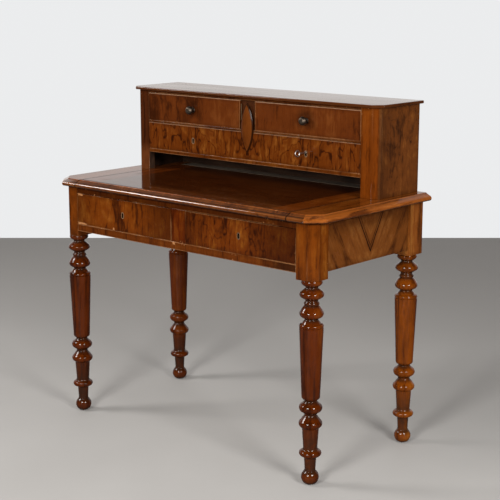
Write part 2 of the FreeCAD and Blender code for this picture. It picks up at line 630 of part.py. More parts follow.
def drawer(name, x, face, z, length, front_holes):
    """Front, pair of sides, back and floor of a drawer that fills an opening."""
    x = (f"({x[0]} + dims.drawer_gap)", f"({x[1]} - dims.drawer_gap)")
    low = f"({z[0]} + dims.drawer_lift)"
    high = f"({z[1]} - dims.drawer_gap)"
    wall_top = f"({high} - dims.wall_drop)"
    inner = (f"({x[0]} + dims.drawer_wall)", f"({x[1]} - dims.drawer_wall)")
    front_back = f"({face} + dims.front_thick)"
    lap_y = f"({front_back} - dims.lap)"
    tail = f"({face} + {length})"
    back_y = f"({tail} - dims.drawer_wall)"
    floor_x = (f"{inner[0]} - dims.floor_groove", f"{inner[1]} + dims.floor_groove")
    floor_y = (f"{front_back} - dims.floor_groove", tail)
    floor_z = (f"{low} + dims.floor_rise", f"{low} + dims.floor_rise + dims.drawer_floor")
    groove = (grown(floor_x), grown(floor_y), grown(floor_z))
    laps = [board(f"{name}_lap_{i}", pair, (lap_y, front_back), (low, wall_top))
            for i, pair in enumerate(((x[0], inner[0]), (inner[1], x[1])))]
    blank = board(name + "_front_blank", x, (face, front_back), (low, high))
    node(carved(name + "_front", blank, laps + [board(name + "_front_groove", *groove)] + front_holes))
    sides = []
    for i, pair in enumerate(((x[0], inner[0]), (inner[1], x[1]))):
        plain = board(f"{name}_side_blank_{i}", pair, (lap_y, tail), (low, wall_top))
        sides.append(carved(f"{name}_side_{i}", plain, [board(f"{name}_side_groove_{i}", *groove)]))
    node(grouped(name + "_sides", sides))
    node(board(name + "_back", inner, (back_y, tail), (groove[2][1], wall_top)))
    node(board(name + "_bottom", floor_x, floor_y, floor_z))


def lock_box(x, face, top):
    """Ranges of a lock's recess in the back of a drawer front, open at the front's top edge."""
    behind = f"{face} + dims.front_thick"
    return ((f"{x} - dims.lock_width / 2", f"{x} + dims.lock_width / 2"),
            (f"{behind} - dims.lock_depth", behind), (f"{top} - {lock_height}", top))


def lock_recess(label, x, face, top):
    """Cuts for a lock and for its keyhole's lining."""
    rim_width = "(dims.keyhole_width + 2 * dims.escutcheon_rim)"
    rim_height = "(dims.keyhole_height + 2 * dims.escutcheon_rim)"
    key_z = f"({top} - {lock_backset})"
    x_range, y_range, z_range = lock_box(x, face, top)
    return [board(label + "_recess", x_range, y_range, z_range),
            keyhole(label + "_lining_cut", x, key_z, (face, y_range[0]), rim_width, rim_height)]


def lock(label, x, face, top):
    """Escutcheon, hollow case and bolt of one drawer lock."""
    rim_width = "(dims.keyhole_width + 2 * dims.escutcheon_rim)"
    rim_height = "(dims.keyhole_height + 2 * dims.escutcheon_rim)"
    key_z = f"({top} - {lock_backset})"
    x_range, y_range, z_range = lock_box(x, face, top)
    lining = keyhole(label + "_lining", x, key_z, (face, y_range[0]), rim_width, rim_height)
    hole = keyhole(label + "_hole", x, key_z, (face, y_range[0]), "dims.keyhole_width", "dims.keyhole_height")
    escutcheon = carved(label + "_escutcheon", lining, [hole])
    fit = "dims.lock_fit"
    outer = (grown(x_range, f"-{fit}"), (y_range[0], f"{y_range[1]} - {fit}"),
             (f"{z_range[0]} + {fit}", z_range[1]))
    inner = [grown(pair, "-dims.lock_plate") for pair in outer]
    half = "(dims.bolt_width / 2)"
    bolt_span = (f"{x} - {half}", f"{x} + {half}")
    bolt_depth = (f"{y_range[0]} + dims.lock_plate + dims.bolt_gap",
                  f"{y_range[0]} + dims.lock_plate + dims.bolt_gap + dims.bolt_thick")
    mouth = board(label + "_mouth", grown(bolt_span, "dims.bolt_gap"), grown(bolt_depth, "dims.bolt_gap"),
                  (inner[2][1], outer[2][1]))
    entry = keyhole(label + "_entry", x, key_z, (y_range[0], inner[1][0]),
                    "dims.keyhole_width", "dims.keyhole_height")
    case = carved(label + "_case", board(label + "_case_block", *outer),
                  [board(label + "_case_room", *inner), mouth, entry])
    bolt_foot = f"{top} - {lock_backset} + dims.bolt_key_room"
    bolt = board(label + "_bolt", bolt_span, bolt_depth, (bolt_foot, top))
    return escutcheon, case, bolt


frieze_drawer_length = f"({back_in} - {frieze_face} - dims.frieze_drawer_room)"
cabinet_drawer_length = f"({panel_front} - {cabinet_face} - dims.cabinet_drawer_room)"
frieze_lock_top = f"({frieze_ceiling} - dims.drawer_gap)"
long_lock_top = f"({long_ceiling} - dims.drawer_gap)"
for side, hand in ((-1, "left"), (1, "right")):
    name = f"frieze_drawer_{hand}"
    lock_x = f"({side} * {frieze_lock_x})"
    drawer(name, sided(side, stile, block_in), frieze_face, (frieze_floor, frieze_ceiling),
           frieze_drawer_length, lock_recess(name + "_lock", lock_x, frieze_face, frieze_lock_top))
    for piece in lock(name + "_lock", lock_x, frieze_face, frieze_lock_top):
        node(piece)

long_cuts = []
long_locks = []
for side, hand in ((-1, "left"), (1, "right")):
    lock_x = f"({side} * {cabinet_lock_x})"
    long_cuts += lock_recess(f"long_lock_{hand}", lock_x, cabinet_face, long_lock_top)
    long_locks.append(lock(f"long_drawer_lock_{hand}", lock_x, cabinet_face, long_lock_top))
drawer("long_drawer", (f"-{post_in}", post_in), cabinet_face, (long_floor, long_ceiling),
       cabinet_drawer_length, long_cuts)
node(grouped("long_drawer_escutcheons", [pieces[0] for pieces in long_locks]))
node(grouped("long_drawer_lock_cases", [pieces[1] for pieces in long_locks]))
for pieces in long_locks:
    node(pieces[2])


def knob(label, x, z, face):
    """Turned metal knob whose stud passes through the drawer front."""
    stud, rose, neck, tip = stacked("dims.front_thick", "dims.knob_rose", "dims.knob_neck", "dims.knob_depth")
    piece = turned(label, "dims.stud_dia", [
        (stud, "dims.stud_dia"), (stud, "dims.knob_rose_dia"), (rose, "dims.knob_rose_top_dia"),
        (rose, "dims.knob_neck_dia"), (neck, "dims.knob_neck_dia"),
        (f"{neck} + dims.knob_depth * 0.45", "dims.knob_dia", tip, "dims.knob_neck_dia")])
    piece.Placement = Placement(Vector(), Rotation(Vector(1, 0, 0), 90))
    for axis, place in zip("xyz", (x, f"{face} + dims.front_thick", z)):
        piece.setExpression(f"Placement.Base.{axis}", place)
    return node(piece)


knob_z = f"(({small_floor} + {small_ceiling}) / 2)"
for side, hand in ((-1, "left"), (1, "right")):
    name = f"small_drawer_{hand}"
    knob_x = f"({side} * {cabinet_lock_x})"
    stud_hole = rod(name + "_stud_hole", knob_x, knob_z,
                    (cabinet_face, f"{cabinet_face} + dims.front_thick"),
                    "dims.stud_dia / 2 + dims.stud_gap")
    drawer(name, sided(side, "dims.centre_post_half", post_in), cabinet_face,
           (small_floor, small_ceiling), cabinet_drawer_length, [stud_hole])
    knob(name + "_knob", knob_x, knob_z, cabinet_face)

# Lens ornament: two arcs in outline, domed across its width

lens_height = f"({small_ceiling} - {long_floor} - dims.lens_foot_room - dims.lens_head_room)"
lens_z = f"({long_floor} + dims.lens_foot_room + {lens_height} / 2)"
lens_y = (f"{cabinet_face} - dims.lens_depth", cabinet_face)
arc_radius = f"((pow({lens_height} / 2; 2) + pow(dims.lens_width / 2; 2)) / dims.lens_width)"
swell = "(dims.lens_depth - dims.lens_edge)"
dome_radius = f"((pow(dims.lens_width / 2; 2) + pow({swell}; 2)) / (2 * {swell}))"
outline = doc.addObject("Part::MultiCommon", "lens_ornament")
dome = doc.addObject("Part::Cylinder", "lens_dome")
dome.setExpression("Radius", dome_radius)
dome.setExpression("Height", lens_height)
dome.setExpression("Placement.Base.y", f"{lens_y[0]} + {dome_radius}")
dome.setExpression("Placement.Base.z", f"{lens_z} - {lens_height} / 2")
arc_centre = f"({arc_radius} - dims.lens_width / 2)"
outline.Shapes = [rod("lens_left_arc", arc_centre, lens_z, lens_y, arc_radius),
                  rod("lens_right_arc", f"-{arc_centre}", lens_z, lens_y, arc_radius), dome]
node(outline)

# Key in the right-hand lock of the long drawer, bit down and bow upright

key_z = f"({long_lock_top} - {lock_backset})"
lock_face = f"({cabinet_face} + dims.front_thick - dims.lock_depth)"
bit_y = (f"{lock_face} + dims.lock_plate + dims.bolt_gap",
         f"{lock_face} + dims.lock_plate + dims.bolt_gap + dims.key_bit_length")
bow = doc.addObject("Part::Torus", "key_bow")
bow.Placement = Placement(Vector(), Rotation(Vector(0, 1, 0), 90))
bow.setExpression("Radius1", "dims.key_bow_dia / 2 - dims.key_bow_wire / 2")
bow.setExpression("Radius2", "dims.key_bow_wire / 2")
bow_y = f"({cabinet_face} - dims.key_reach - dims.key_bow_dia / 2)"
for axis, place in zip("xyz", (cabinet_lock_x, bow_y, key_z)):
    bow.setExpression(f"Placement.Base.{axis}", place)
half_bit = "(dims.key_bit_thick / 2)"
node(joined("key", [
    bow,
    rod("key_stem", cabinet_lock_x, key_z,
        (f"{cabinet_face} - dims.key_reach - dims.key_bow_wire / 2", bit_y[1]), "dims.key_stem_dia / 2"),
    rod("key_collar", cabinet_lock_x, key_z,
        (f"{cabinet_face} - dims.key_bow_wire", f"{cabinet_face} - dims.key_bow_wire / 2"),
        "dims.key_stem_dia * 0.8"),
    board("key_bit", (f"{cabinet_lock_x} - {half_bit}", f"{cabinet_lock_x} + {half_bit}"), bit_y,
          (f"{key_z} - dims.key_bit_radius", key_z))]))

doc.recompute()
for item in doc.Objects:
    if {"Invalid", "Error"} & set(item.State):
        raise RuntimeError(f"{item.Label} did not build: {item.State}")
os.makedirs("parts", exist_ok=True)
for piece in NODES:
    if piece.Shape.isNull() or not piece.Shape.isValid():
        raise RuntimeError(f"{piece.Label} has no valid shape")
    piece.Shape.exportStep(f"parts/{piece.Label}.step")
print(f"{len(NODES)} pieces")
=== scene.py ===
"""Walnut writing desk with a low drawer cabinet: finished pieces, polish, floor, light and camera."""
import json
import math

import bmesh
import bpy
from mathutils import Matrix, Vector


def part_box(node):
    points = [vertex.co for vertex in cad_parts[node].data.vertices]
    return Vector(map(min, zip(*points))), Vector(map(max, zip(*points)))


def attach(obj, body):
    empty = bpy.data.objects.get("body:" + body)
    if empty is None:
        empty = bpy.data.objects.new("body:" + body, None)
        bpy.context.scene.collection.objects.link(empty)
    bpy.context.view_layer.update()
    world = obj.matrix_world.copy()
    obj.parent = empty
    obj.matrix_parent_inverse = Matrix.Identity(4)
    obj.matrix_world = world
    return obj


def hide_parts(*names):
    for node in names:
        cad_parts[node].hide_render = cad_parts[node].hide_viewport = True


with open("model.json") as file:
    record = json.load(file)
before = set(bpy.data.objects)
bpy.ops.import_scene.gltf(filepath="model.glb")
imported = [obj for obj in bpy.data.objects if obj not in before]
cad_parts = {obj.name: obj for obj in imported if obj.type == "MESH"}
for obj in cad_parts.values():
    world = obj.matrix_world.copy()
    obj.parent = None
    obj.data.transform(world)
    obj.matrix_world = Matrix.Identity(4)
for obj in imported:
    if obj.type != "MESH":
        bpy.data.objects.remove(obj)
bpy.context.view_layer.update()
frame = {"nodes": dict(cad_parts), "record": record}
CARRIER = {node: body for body, nodes in frame["record"]["behaviour"]["bodies"].items() for node in nodes}

# Wiring, and the effects that finishes share


class Wiring:
    """Adds and links the nodes of one finish."""

    def __init__(self, tree):
        self.tree = tree

    def feed(self, socket, value):
        """Set a socket, or link another one to it."""
        if isinstance(value, bpy.types.NodeSocket):
            self.tree.links.new(value, socket)
        elif value is not None:
            socket.default_value = value

    def add(self, kind, inputs=(), **settings):
        """Node of a kind with settings; inputs go by place in a list or by name in a dict."""
        item = self.tree.nodes.new("ShaderNode" + kind)
        for name, value in settings.items():
            setattr(item, name, value)
        for key, value in inputs.items() if isinstance(inputs, dict) else enumerate(inputs):
            self.feed(item.inputs[key], value)
        return item

    def math(self, operation, *values):
        """Result of a sum on numbers."""
        return self.add("Math", values, operation=operation).outputs[0]

    def stretch(self, vector, factors):
        """Vector times a factor along each axis."""
        return self.add("VectorMath", (vector, factors), operation="MULTIPLY").outputs[0]

    def noise(self, vector, scale, detail=2.0, roughness=0.5, output=0):
        """Cloudy value, or colour with output 1."""
        return self.add("TexNoise", {"Vector": vector, "Scale": scale, "Detail": detail,
                                     "Roughness": roughness}).outputs[output]

    def between(self, value, low, high, to_low=0.0, to_high=1.0):
        """Value eased from one range to another."""
        return self.add("MapRange", (value, low, high, to_low, to_high),
                        interpolation_type="SMOOTHSTEP").outputs[0]

    def mix(self, share, first, second):
        """Two colours mixed by a share."""
        return self.add("Mix", {0: share, 6: first, 7: second}, data_type="RGBA").outputs[2]

    def place(self):
        """Coordinates of the piece itself."""
        return self.add("TexCoord").outputs["Object"]

    def use(self, tree, values):
        """Results of an effect with its own values, which go by place in a list or by name in a dict."""
        return self.add("Group", values, node_tree=tree).outputs


WHERE, COLOUR = ("Vector", "Vector", None), ("Color", "Color", None)


def effect(name, inputs, outputs):
    """Empty group with named sockets: the wiring, its given values and its results."""
    tree = bpy.data.node_groups.new(name, "ShaderNodeTree")
    for label, kind, value in inputs:
        socket = tree.interface.new_socket(label, in_out="INPUT", socket_type="NodeSocket" + kind)
        if value is not None:
            socket.default_value = value
    for label, kind in outputs:
        tree.interface.new_socket(label, in_out="OUTPUT", socket_type="NodeSocket" + kind)
    given = tree.nodes.new("NodeGroupInput").outputs
    results = tree.nodes.new("NodeGroupOutput").inputs
    return tree, Wiring(tree), given, results


def walnut_effect():
    """Walnut figure with its grain along Z: rings, veins, dark streaks, fibres, pores, mottle and clouds."""
    tree, w, given, results = effect("walnut_figure", [
        WHERE, ("Warp", "Float", 0.02),
        ("Ring Scale", "Float", 5.0), ("Ring Count", "Float", 6.0), ("Ring Strength", "Float", 0.4),
        ("Streak Scale", "Float", 24.0), ("Streak Strength", "Float", 0.5),
        ("Vein Scale", "Float", 20.0), ("Vein Length", "Float", 0.3), ("Vein Strength", "Float", 0.0),
        ("Mottle", "Float", 0.3), ("Cloud", "Float", 0.5),
        ("Dark", "Color", None), ("Middle", "Color", None), ("Light", "Color", None),
    ], [("Color", "Color"), ("Grain", "Float")])
    drift = w.noise(w.stretch(given["Vector"], (1, 1, 0.35)), 7.0, 4.0, 0.6, output=1)
    centred = w.add("VectorMath", (drift, (0.5, 0.5, 0.5)), operation="SUBTRACT").outputs[0]
    bend = w.add("VectorMath", {0: centred, "Scale": given["Warp"]}, operation="SCALE").outputs[0]
    bent = w.add("VectorMath", (given["Vector"], bend), operation="ADD").outputs[0]
    ring_field = w.noise(w.stretch(bent, (1, 1, 0.12)), given["Ring Scale"], 1.5, 0.5)
    ring_turns = w.math("MULTIPLY", w.math("MULTIPLY", ring_field, given["Ring Count"]), 2 * math.pi)
    rings = w.math("MULTIPLY", w.math("SINE", ring_turns), 0.5)
    streak_field = w.noise(w.stretch(bent, (1, 1, 0.06)), given["Streak Scale"], 4.0, 0.62)
    streak = w.between(streak_field, 0.47, 0.70)
    vein_place = w.stretch(bent, w.add("CombineXYZ", (1.0, 1.0, given["Vein Length"])).outputs[0])
    vein_field = w.noise(vein_place, given["Vein Scale"], 2.0, 0.55)
    vein_turns = w.math("FRACT", w.math("MULTIPLY", vein_field, 7.0))
    vein_ridge = w.math("ABSOLUTE", w.math("SUBTRACT", vein_turns, 0.5))
    vein = w.math("SUBTRACT", 1.0, w.between(vein_ridge, 0.0, 0.13))
    fibre = w.noise(w.stretch(given["Vector"], (1, 1, 0.02)), 330.0, 3.0, 0.7)
    pores = w.between(w.noise(w.stretch(given["Vector"], (1, 1, 0.03)), 950.0, 1.0), 0.58, 0.70)
    mottle = w.math("SUBTRACT", w.noise(w.stretch(bent, (1, 1, 0.6)), 38.0, 3.0, 0.6), 0.5)
    cloud = w.math("SUBTRACT", w.noise(w.stretch(bent, (1, 1, 0.4)), 8.0, 2.0, 0.5), 0.5)
    tone = w.math("MULTIPLY_ADD", rings, given["Ring Strength"], 0.55)
    tone = w.math("MULTIPLY_ADD", w.math("SUBTRACT", fibre, 0.5), 0.5, tone)
    tone = w.math("MULTIPLY_ADD", mottle, given["Mottle"], tone)
    tone = w.math("MULTIPLY_ADD", cloud, given["Cloud"], tone)
    tone = w.math("SUBTRACT", tone, w.math("MULTIPLY", streak, given["Streak Strength"]))
    tone = w.math("SUBTRACT", tone, w.math("MULTIPLY", vein, given["Vein Strength"]))
    deep = w.mix(w.between(tone, 0.0, 0.5), given["Dark"], given["Middle"])
    warm = w.mix(w.between(tone, 0.5, 1.0), deep, given["Light"])
    w.feed(results["Color"], w.mix(w.math("MULTIPLY", pores, 0.4), warm, given["Dark"]))
    w.feed(results["Grain"], w.math("SUBTRACT", fibre, w.math("MULTIPLY", pores, 0.8)))
    return tree


def edge_effect():
    """Wear along a board's own edges, broken up by noise, and the darker old polish beside it."""
    tree, w, given, results = effect("edge_wear", [
        WHERE, ("Reach", "Float", 0.003), ("Patches", "Float", 0.5),
    ], [("Wear", "Float"), ("Chips", "Float"), ("Shade", "Float")])
    rim = w.add("Attribute", attribute_name="rim", attribute_type="GEOMETRY")
    sides = w.add("SeparateXYZ", (rim.outputs["Vector"],)).outputs
    near = w.math("MINIMUM", w.math("MINIMUM", sides[0], sides[1]),
                  w.math("MINIMUM", sides[2], rim.outputs["Alpha"]))
    ragged = w.math("SUBTRACT", w.noise(given["Vector"], 90.0, 3.0, 0.7), 0.5)
    wavy = w.math("MULTIPLY_ADD", ragged, w.math("MULTIPLY", given["Reach"], 1.6), near)
    line = w.math("SUBTRACT", 1.0, w.between(wavy, 0.0, given["Reach"]))
    patch = w.between(w.noise(given["Vector"], 9.0, 2.0), w.math("SUBTRACT", 0.75, given["Patches"]),
                      w.math("SUBTRACT", 1.0, given["Patches"]))
    w.feed(results["Wear"], w.math("MULTIPLY", line, patch))
    beside = w.math("SUBTRACT", 1.0, w.between(near, 0.0015, 0.007))
    flaked = w.between(w.noise(given["Vector"], 170.0, 2.0, 0.55), 0.62, 0.68)
    struck = w.between(w.noise(given["Vector"], 14.0, 1.0), 0.58, 0.66)
    w.feed(results["Chips"], w.math("MULTIPLY", w.math("MULTIPLY", beside, flaked), struck))
    w.feed(results["Shade"], w.math("SUBTRACT", 1.0, w.between(near, 0.0, 0.014)))
    return tree


def polish_effect():
    """Old hand polish: a clear gloss with dull smears, fine scratches and a slightly wavy surface."""
    tree, w, given, results = effect("old_polish", [
        WHERE, ("Gloss", "Float", 0.16), ("Dullness", "Float", 0.18),
        ("Smear", "Float", 0.35),
    ], [("Roughness", "Float"), ("Coat", "Float"), ("Height", "Float")])
    smear = w.between(w.noise(given["Vector"], 11.0, 4.0, 0.65), 0.42, 0.75)
    speck = w.between(w.noise(given["Vector"], 420.0, 2.0, 0.6), 0.55, 0.8)
    dull = w.math("MULTIPLY_ADD", speck, 0.25, smear)
    w.feed(results["Roughness"], w.math("MULTIPLY_ADD", dull, given["Dullness"], given["Gloss"]))
    w.feed(results["Coat"], w.math("SUBTRACT", 1.0, w.math("MULTIPLY", dull, given["Smear"])))
    w.feed(results["Height"], w.noise(given["Vector"], 28.0, 2.0, 0.5))
    return tree


def shade(red, green, blue):
    """Colour from its three shares."""
    return (red, green, blue, 1.0)


WORN_WOOD = shade(0.30, 0.135, 0.052)
# Pale colour of the line on the moulding's nose crest: a painted highlight, partly rubbed wear.
RUBBED_AND_HIGHLIGHT = shade(0.30, 0.12, 0.045)
# Dark colour of stains, dirt, seams and figure lines; it is also painted shade under the desk top's overhang
# and round the moulding's nose.
STAIN_AND_SHADE = shade(0.010, 0.003, 0.001)
SOOT = shade(0.018, 0.008, 0.004)
CREAM = shade(0.40, 0.25, 0.16)


def band_effect():
    """Uneven level band between two heights."""
    tree, w, given, results = effect("level_band", [
        WHERE, COLOUR, ("Low", "Float", 0.0), ("High", "Float", 0.0), ("Softness", "Float", 0.001),
        ("Band", "Color", None), ("Strength", "Float", 0.5),
    ], [("Color", "Color")])
    level = w.add("SeparateXYZ", (given["Vector"],)).outputs[2]
    over = w.between(level, w.math("SUBTRACT", given["Low"], given["Softness"]), given["Low"])
    under = w.between(level, w.math("ADD", given["High"], given["Softness"]), given["High"])
    uneven = w.between(w.noise(given["Vector"], 45.0, 3.0, 0.6), 0.3, 0.6, 0.6, 1.0)
    share = w.math("MULTIPLY", w.math("MULTIPLY", over, under), w.math("MULTIPLY", uneven, given["Strength"]))
    w.feed(results["Color"], w.mix(share, given["Color"], given["Band"]))
    return tree


def dark_patch_effect():
    """Patchy darkening round a place, such as handling dirt round a knob."""
    tree, w, given, results = effect("dark_patch_round_a_place", [
        WHERE, COLOUR, ("Across", "Float", 0.0), ("Height", "Float", 0.0), ("Reach", "Float", 0.05),
        ("Strength", "Float", 0.5),
    ], [("Color", "Color")])
    touched = w.add("CombineXYZ", (given["Across"], 0.0, given["Height"])).outputs[0]
    away = w.add("VectorMath", (given["Vector"], touched), operation="SUBTRACT").outputs[0]
    far = w.add("VectorMath", (w.stretch(away, (1, 0, 1)),), operation="LENGTH").outputs["Value"]
    ragged = w.noise(given["Vector"], 30.0, 3.0, 0.6)
    patchy = w.math("MULTIPLY_ADD", ragged, w.math("MULTIPLY", given["Reach"], 0.8), far)
    outer, inner = (w.math("MULTIPLY", given["Reach"], share) for share in (1.3, 0.5))
    soiled = w.math("MULTIPLY", w.between(patchy, outer, inner), given["Strength"])
    w.feed(results["Color"], w.mix(soiled, given["Color"], STAIN_AND_SHADE))
    return tree


def ends_effect():
    """Darker away from a place along a board."""
    tree, w, given, results = effect("darker_ends", [
        ("Along", "Float", 0.0), COLOUR, ("Dark", "Color", None), ("Place", "Float", 0.0),
        ("Reach", "Float", 0.2), ("Strength", "Float", 0.5),
    ], [("Color", "Color")])
    out = w.math("ABSOLUTE", w.math("SUBTRACT", given["Along"], given["Place"]))
    darker = w.between(out, w.math("MULTIPLY", given["Reach"], 0.25), given["Reach"])
    share = w.math("MULTIPLY", darker, given["Strength"])
    w.feed(results["Color"], w.mix(share, given["Color"], given["Dark"]))
    return tree


def chip_effect():
    """Bare wood with one more ragged chip."""
    tree, w, given, results = effect("ragged_chip", [
        WHERE, ("Bare", "Float", 0.0), ("Across", "Float", 0.0), ("Height", "Float", 0.0),
        ("Half Length", "Float", 0.01), ("Half Height", "Float", 0.01),
    ], [("Bare", "Float")])
    x, _, z = w.add("SeparateXYZ", (given["Vector"],)).outputs
    beside = w.math("ABSOLUTE", w.math("SUBTRACT", x, given["Across"]))
    above = w.math("ABSOLUTE", w.math("SUBTRACT", z, given["Height"]))
    ragged = w.math("MULTIPLY_ADD", w.noise(given["Vector"], 260.0, 3.0, 0.65), 1.6, -0.8)
    far = w.math("MAXIMUM", w.math("DIVIDE", beside, given["Half Length"]),
                 w.math("DIVIDE", above, given["Half Height"]))
    chipped = w.math("SUBTRACT", 1.0, w.between(w.math("ADD", far, ragged), 0.75, 1.0))
    w.feed(results["Bare"], w.math("MAXIMUM", given["Bare"], chipped))
    return tree


def seam_effect():
    """Dark upright seam, and the share of whole surface beside it."""
    tree, w, given, results = effect("upright_seam", [
        WHERE, COLOUR, ("Across", "Float", 0.0), ("Half Width", "Float", 0.002),
    ], [("Color", "Color"), ("Whole", "Float")])
    x = w.add("SeparateXYZ", (given["Vector"],)).outputs[0]
    apart = w.math("ABSOLUTE", w.math("SUBTRACT", x, given["Across"]))
    whole = w.between(apart, w.math("MULTIPLY", given["Half Width"], 0.5), given["Half Width"])
    w.feed(results["Color"], w.mix(whole, STAIN_AND_SHADE, given["Color"]))
    w.feed(results["Whole"], whole)
    return tree


def soil_effect():
    """Soil on dry wood: dark in patches and near the edges, rubbed light along them."""
    tree, w, given, results = effect("dry_soil", [
        WHERE, COLOUR, ("Dark", "Color", None), ("Light", "Color", None), ("Shade", "Float", 0.0),
        ("Wear", "Float", 0.0),
    ], [("Color", "Color")])
    patch = w.between(w.noise(given["Vector"], 13.0, 4.0, 0.65), 0.4, 0.75)
    soil = w.math("MULTIPLY", w.math("MAXIMUM", patch, given["Shade"]), 0.3)
    soiled = w.mix(soil, given["Color"], given["Dark"])
    w.feed(results["Color"], w.mix(w.math("MULTIPLY", given["Wear"], 0.5), soiled, given["Light"]))
    return tree


def hollow_effect():
    """Old dark polish in the hollows of a turning, and dust at its foot."""
    tree, w, given, results = effect("hollow_dirt", [WHERE, COLOUR], [("Color", "Color")])
    radius = w.add("Attribute", attribute_name="radius", attribute_type="GEOMETRY").outputs["Fac"]
    hollow = w.math("SUBTRACT", 1.0, w.between(radius, 0.0185, 0.0275))
    soot = w.math("MULTIPLY", hollow, w.between(w.noise(given["Vector"], 60.0, 3.0), 0.2, 0.7, 0.45, 0.85))
    foot = w.between(w.add("SeparateXYZ", (given["Vector"],)).outputs[2], 0.0, 0.035, 0.55, 0.0)
    dust = w.math("MULTIPLY", foot, w.between(w.noise(given["Vector"], 110.0, 3.0), 0.35, 0.6))
    w.feed(results["Color"], w.mix(w.math("MAXIMUM", soot, dust), given["Color"], SOOT))
    return tree


def tarnish_effect():
    """Old metal: tarnish in patches, rubbed bright in places, fine scratches."""
    tree, w, given, results = effect("tarnish", [
        WHERE, ("Clean", "Color", None), ("Tarnish", "Color", None), ("Bright", "Color", None),
        ("Age", "Float", 0.5),
    ], [("Color", "Color"), ("Patch", "Float"), ("Scratch", "Float")])
    low = w.math("MULTIPLY_ADD", given["Age"], -0.4, 0.62)
    high = w.math("MULTIPLY_ADD", given["Age"], -0.3, 0.85)
    patch = w.between(w.noise(given["Vector"], 160.0, 4.0, 0.65), low, high)
    rubbed = w.between(w.noise(given["Vector"], 420.0, 2.0, 0.6), 0.55, 0.75)
    dulled = w.mix(patch, given["Clean"], given["Tarnish"])
    w.feed(results["Color"], w.mix(w.math("MULTIPLY", rubbed, 0.5), dulled, given["Bright"]))
    w.feed(results["Patch"], patch)
    w.feed(results["Scratch"], w.noise(w.stretch(given["Vector"], (1, 1, 0.15)), 1400.0, 2.0, 0.6))
    return tree


WALNUT, EDGES, POLISH = walnut_effect(), edge_effect(), polish_effect()
LEVEL_BAND, DARK_PATCH, DARKER_ENDS = band_effect(), dark_patch_effect(), ends_effect()
CHIP, SEAM, SOIL = chip_effect(), seam_effect(), soil_effect()
HOLLOW_DIRT, TARNISH = hollow_effect(), tarnish_effect()

# Finishes

TURNS = {"x": (0.0, math.pi / 2, 0.0), "y": (math.pi / 2, 0.0, 0.0), "z": (0.0, 0.0, 0.0)}


def new_finish(name):
    """Empty material: its wiring and its shader."""
    finish = bpy.data.materials.new(name)
    finish.use_nodes = True
    return finish, Wiring(finish.node_tree), finish.node_tree.nodes["Principled BSDF"]


def relief(w, shader, height, strength, distance):
    """Fine relief of a surface."""
    bump = w.add("Bump", {"Strength": strength, "Distance": distance, "Height": height})
    w.feed(shader.inputs["Normal"], bump.outputs[0])


def polished_relief(w, shader, wood, polish, wave, blur):
    """Sheen of old polish, with the grain and the polish just to be felt."""
    shader.inputs["Coat Roughness"].default_value = blur
    shader.inputs["Specular IOR Level"].default_value = 0.02
    relief(w, shader, w.math("MULTIPLY_ADD", wood["Grain"], 0.12, polish["Height"]), wave, 0.0008)


def dark_v(w, colour, place, middle, peak, lean):
    """Colour with a double dark V about a middle along Y: the height of its point, the lean of its arms."""
    out = w.math("ABSOLUTE", w.math("SUBTRACT", place["y"], middle))
    up = w.math("SUBTRACT", place["z"], peak)
    offset = w.math("MULTIPLY_ADD", out, math.cos(lean), w.math("MULTIPLY", up, -math.sin(lean)))
    for shift, depth in ((0.0, 1.0), (0.0075, 0.6)):
        apart = w.math("ABSOLUTE", w.math("ADD", offset, shift))
        inked = w.math("MULTIPLY", w.math("SUBTRACT", 1.0, w.between(apart, 0.0010, 0.0026)), depth)
        colour = w.mix(inked, colour, STAIN_AND_SHADE)
    return colour


def lens_rim(w, colour, place, half_width, half_height, centre, thick):
    """Colour with the dark rim of an upright lens made of two arcs."""
    reach = (half_height ** 2 + half_width ** 2) / (2 * half_width)
    out = w.math("ADD", w.math("ABSOLUTE", place["x"]), reach - half_width)
    up = w.math("SUBTRACT", place["z"], centre)
    far = w.math("SQRT", w.math("MULTIPLY_ADD", out, out, w.math("MULTIPLY", up, up)))
    inked = w.math("MULTIPLY", w.between(far, reach - thick, reach - 0.6 * thick), 0.9)
    return w.mix(inked, colour, STAIN_AND_SHADE)


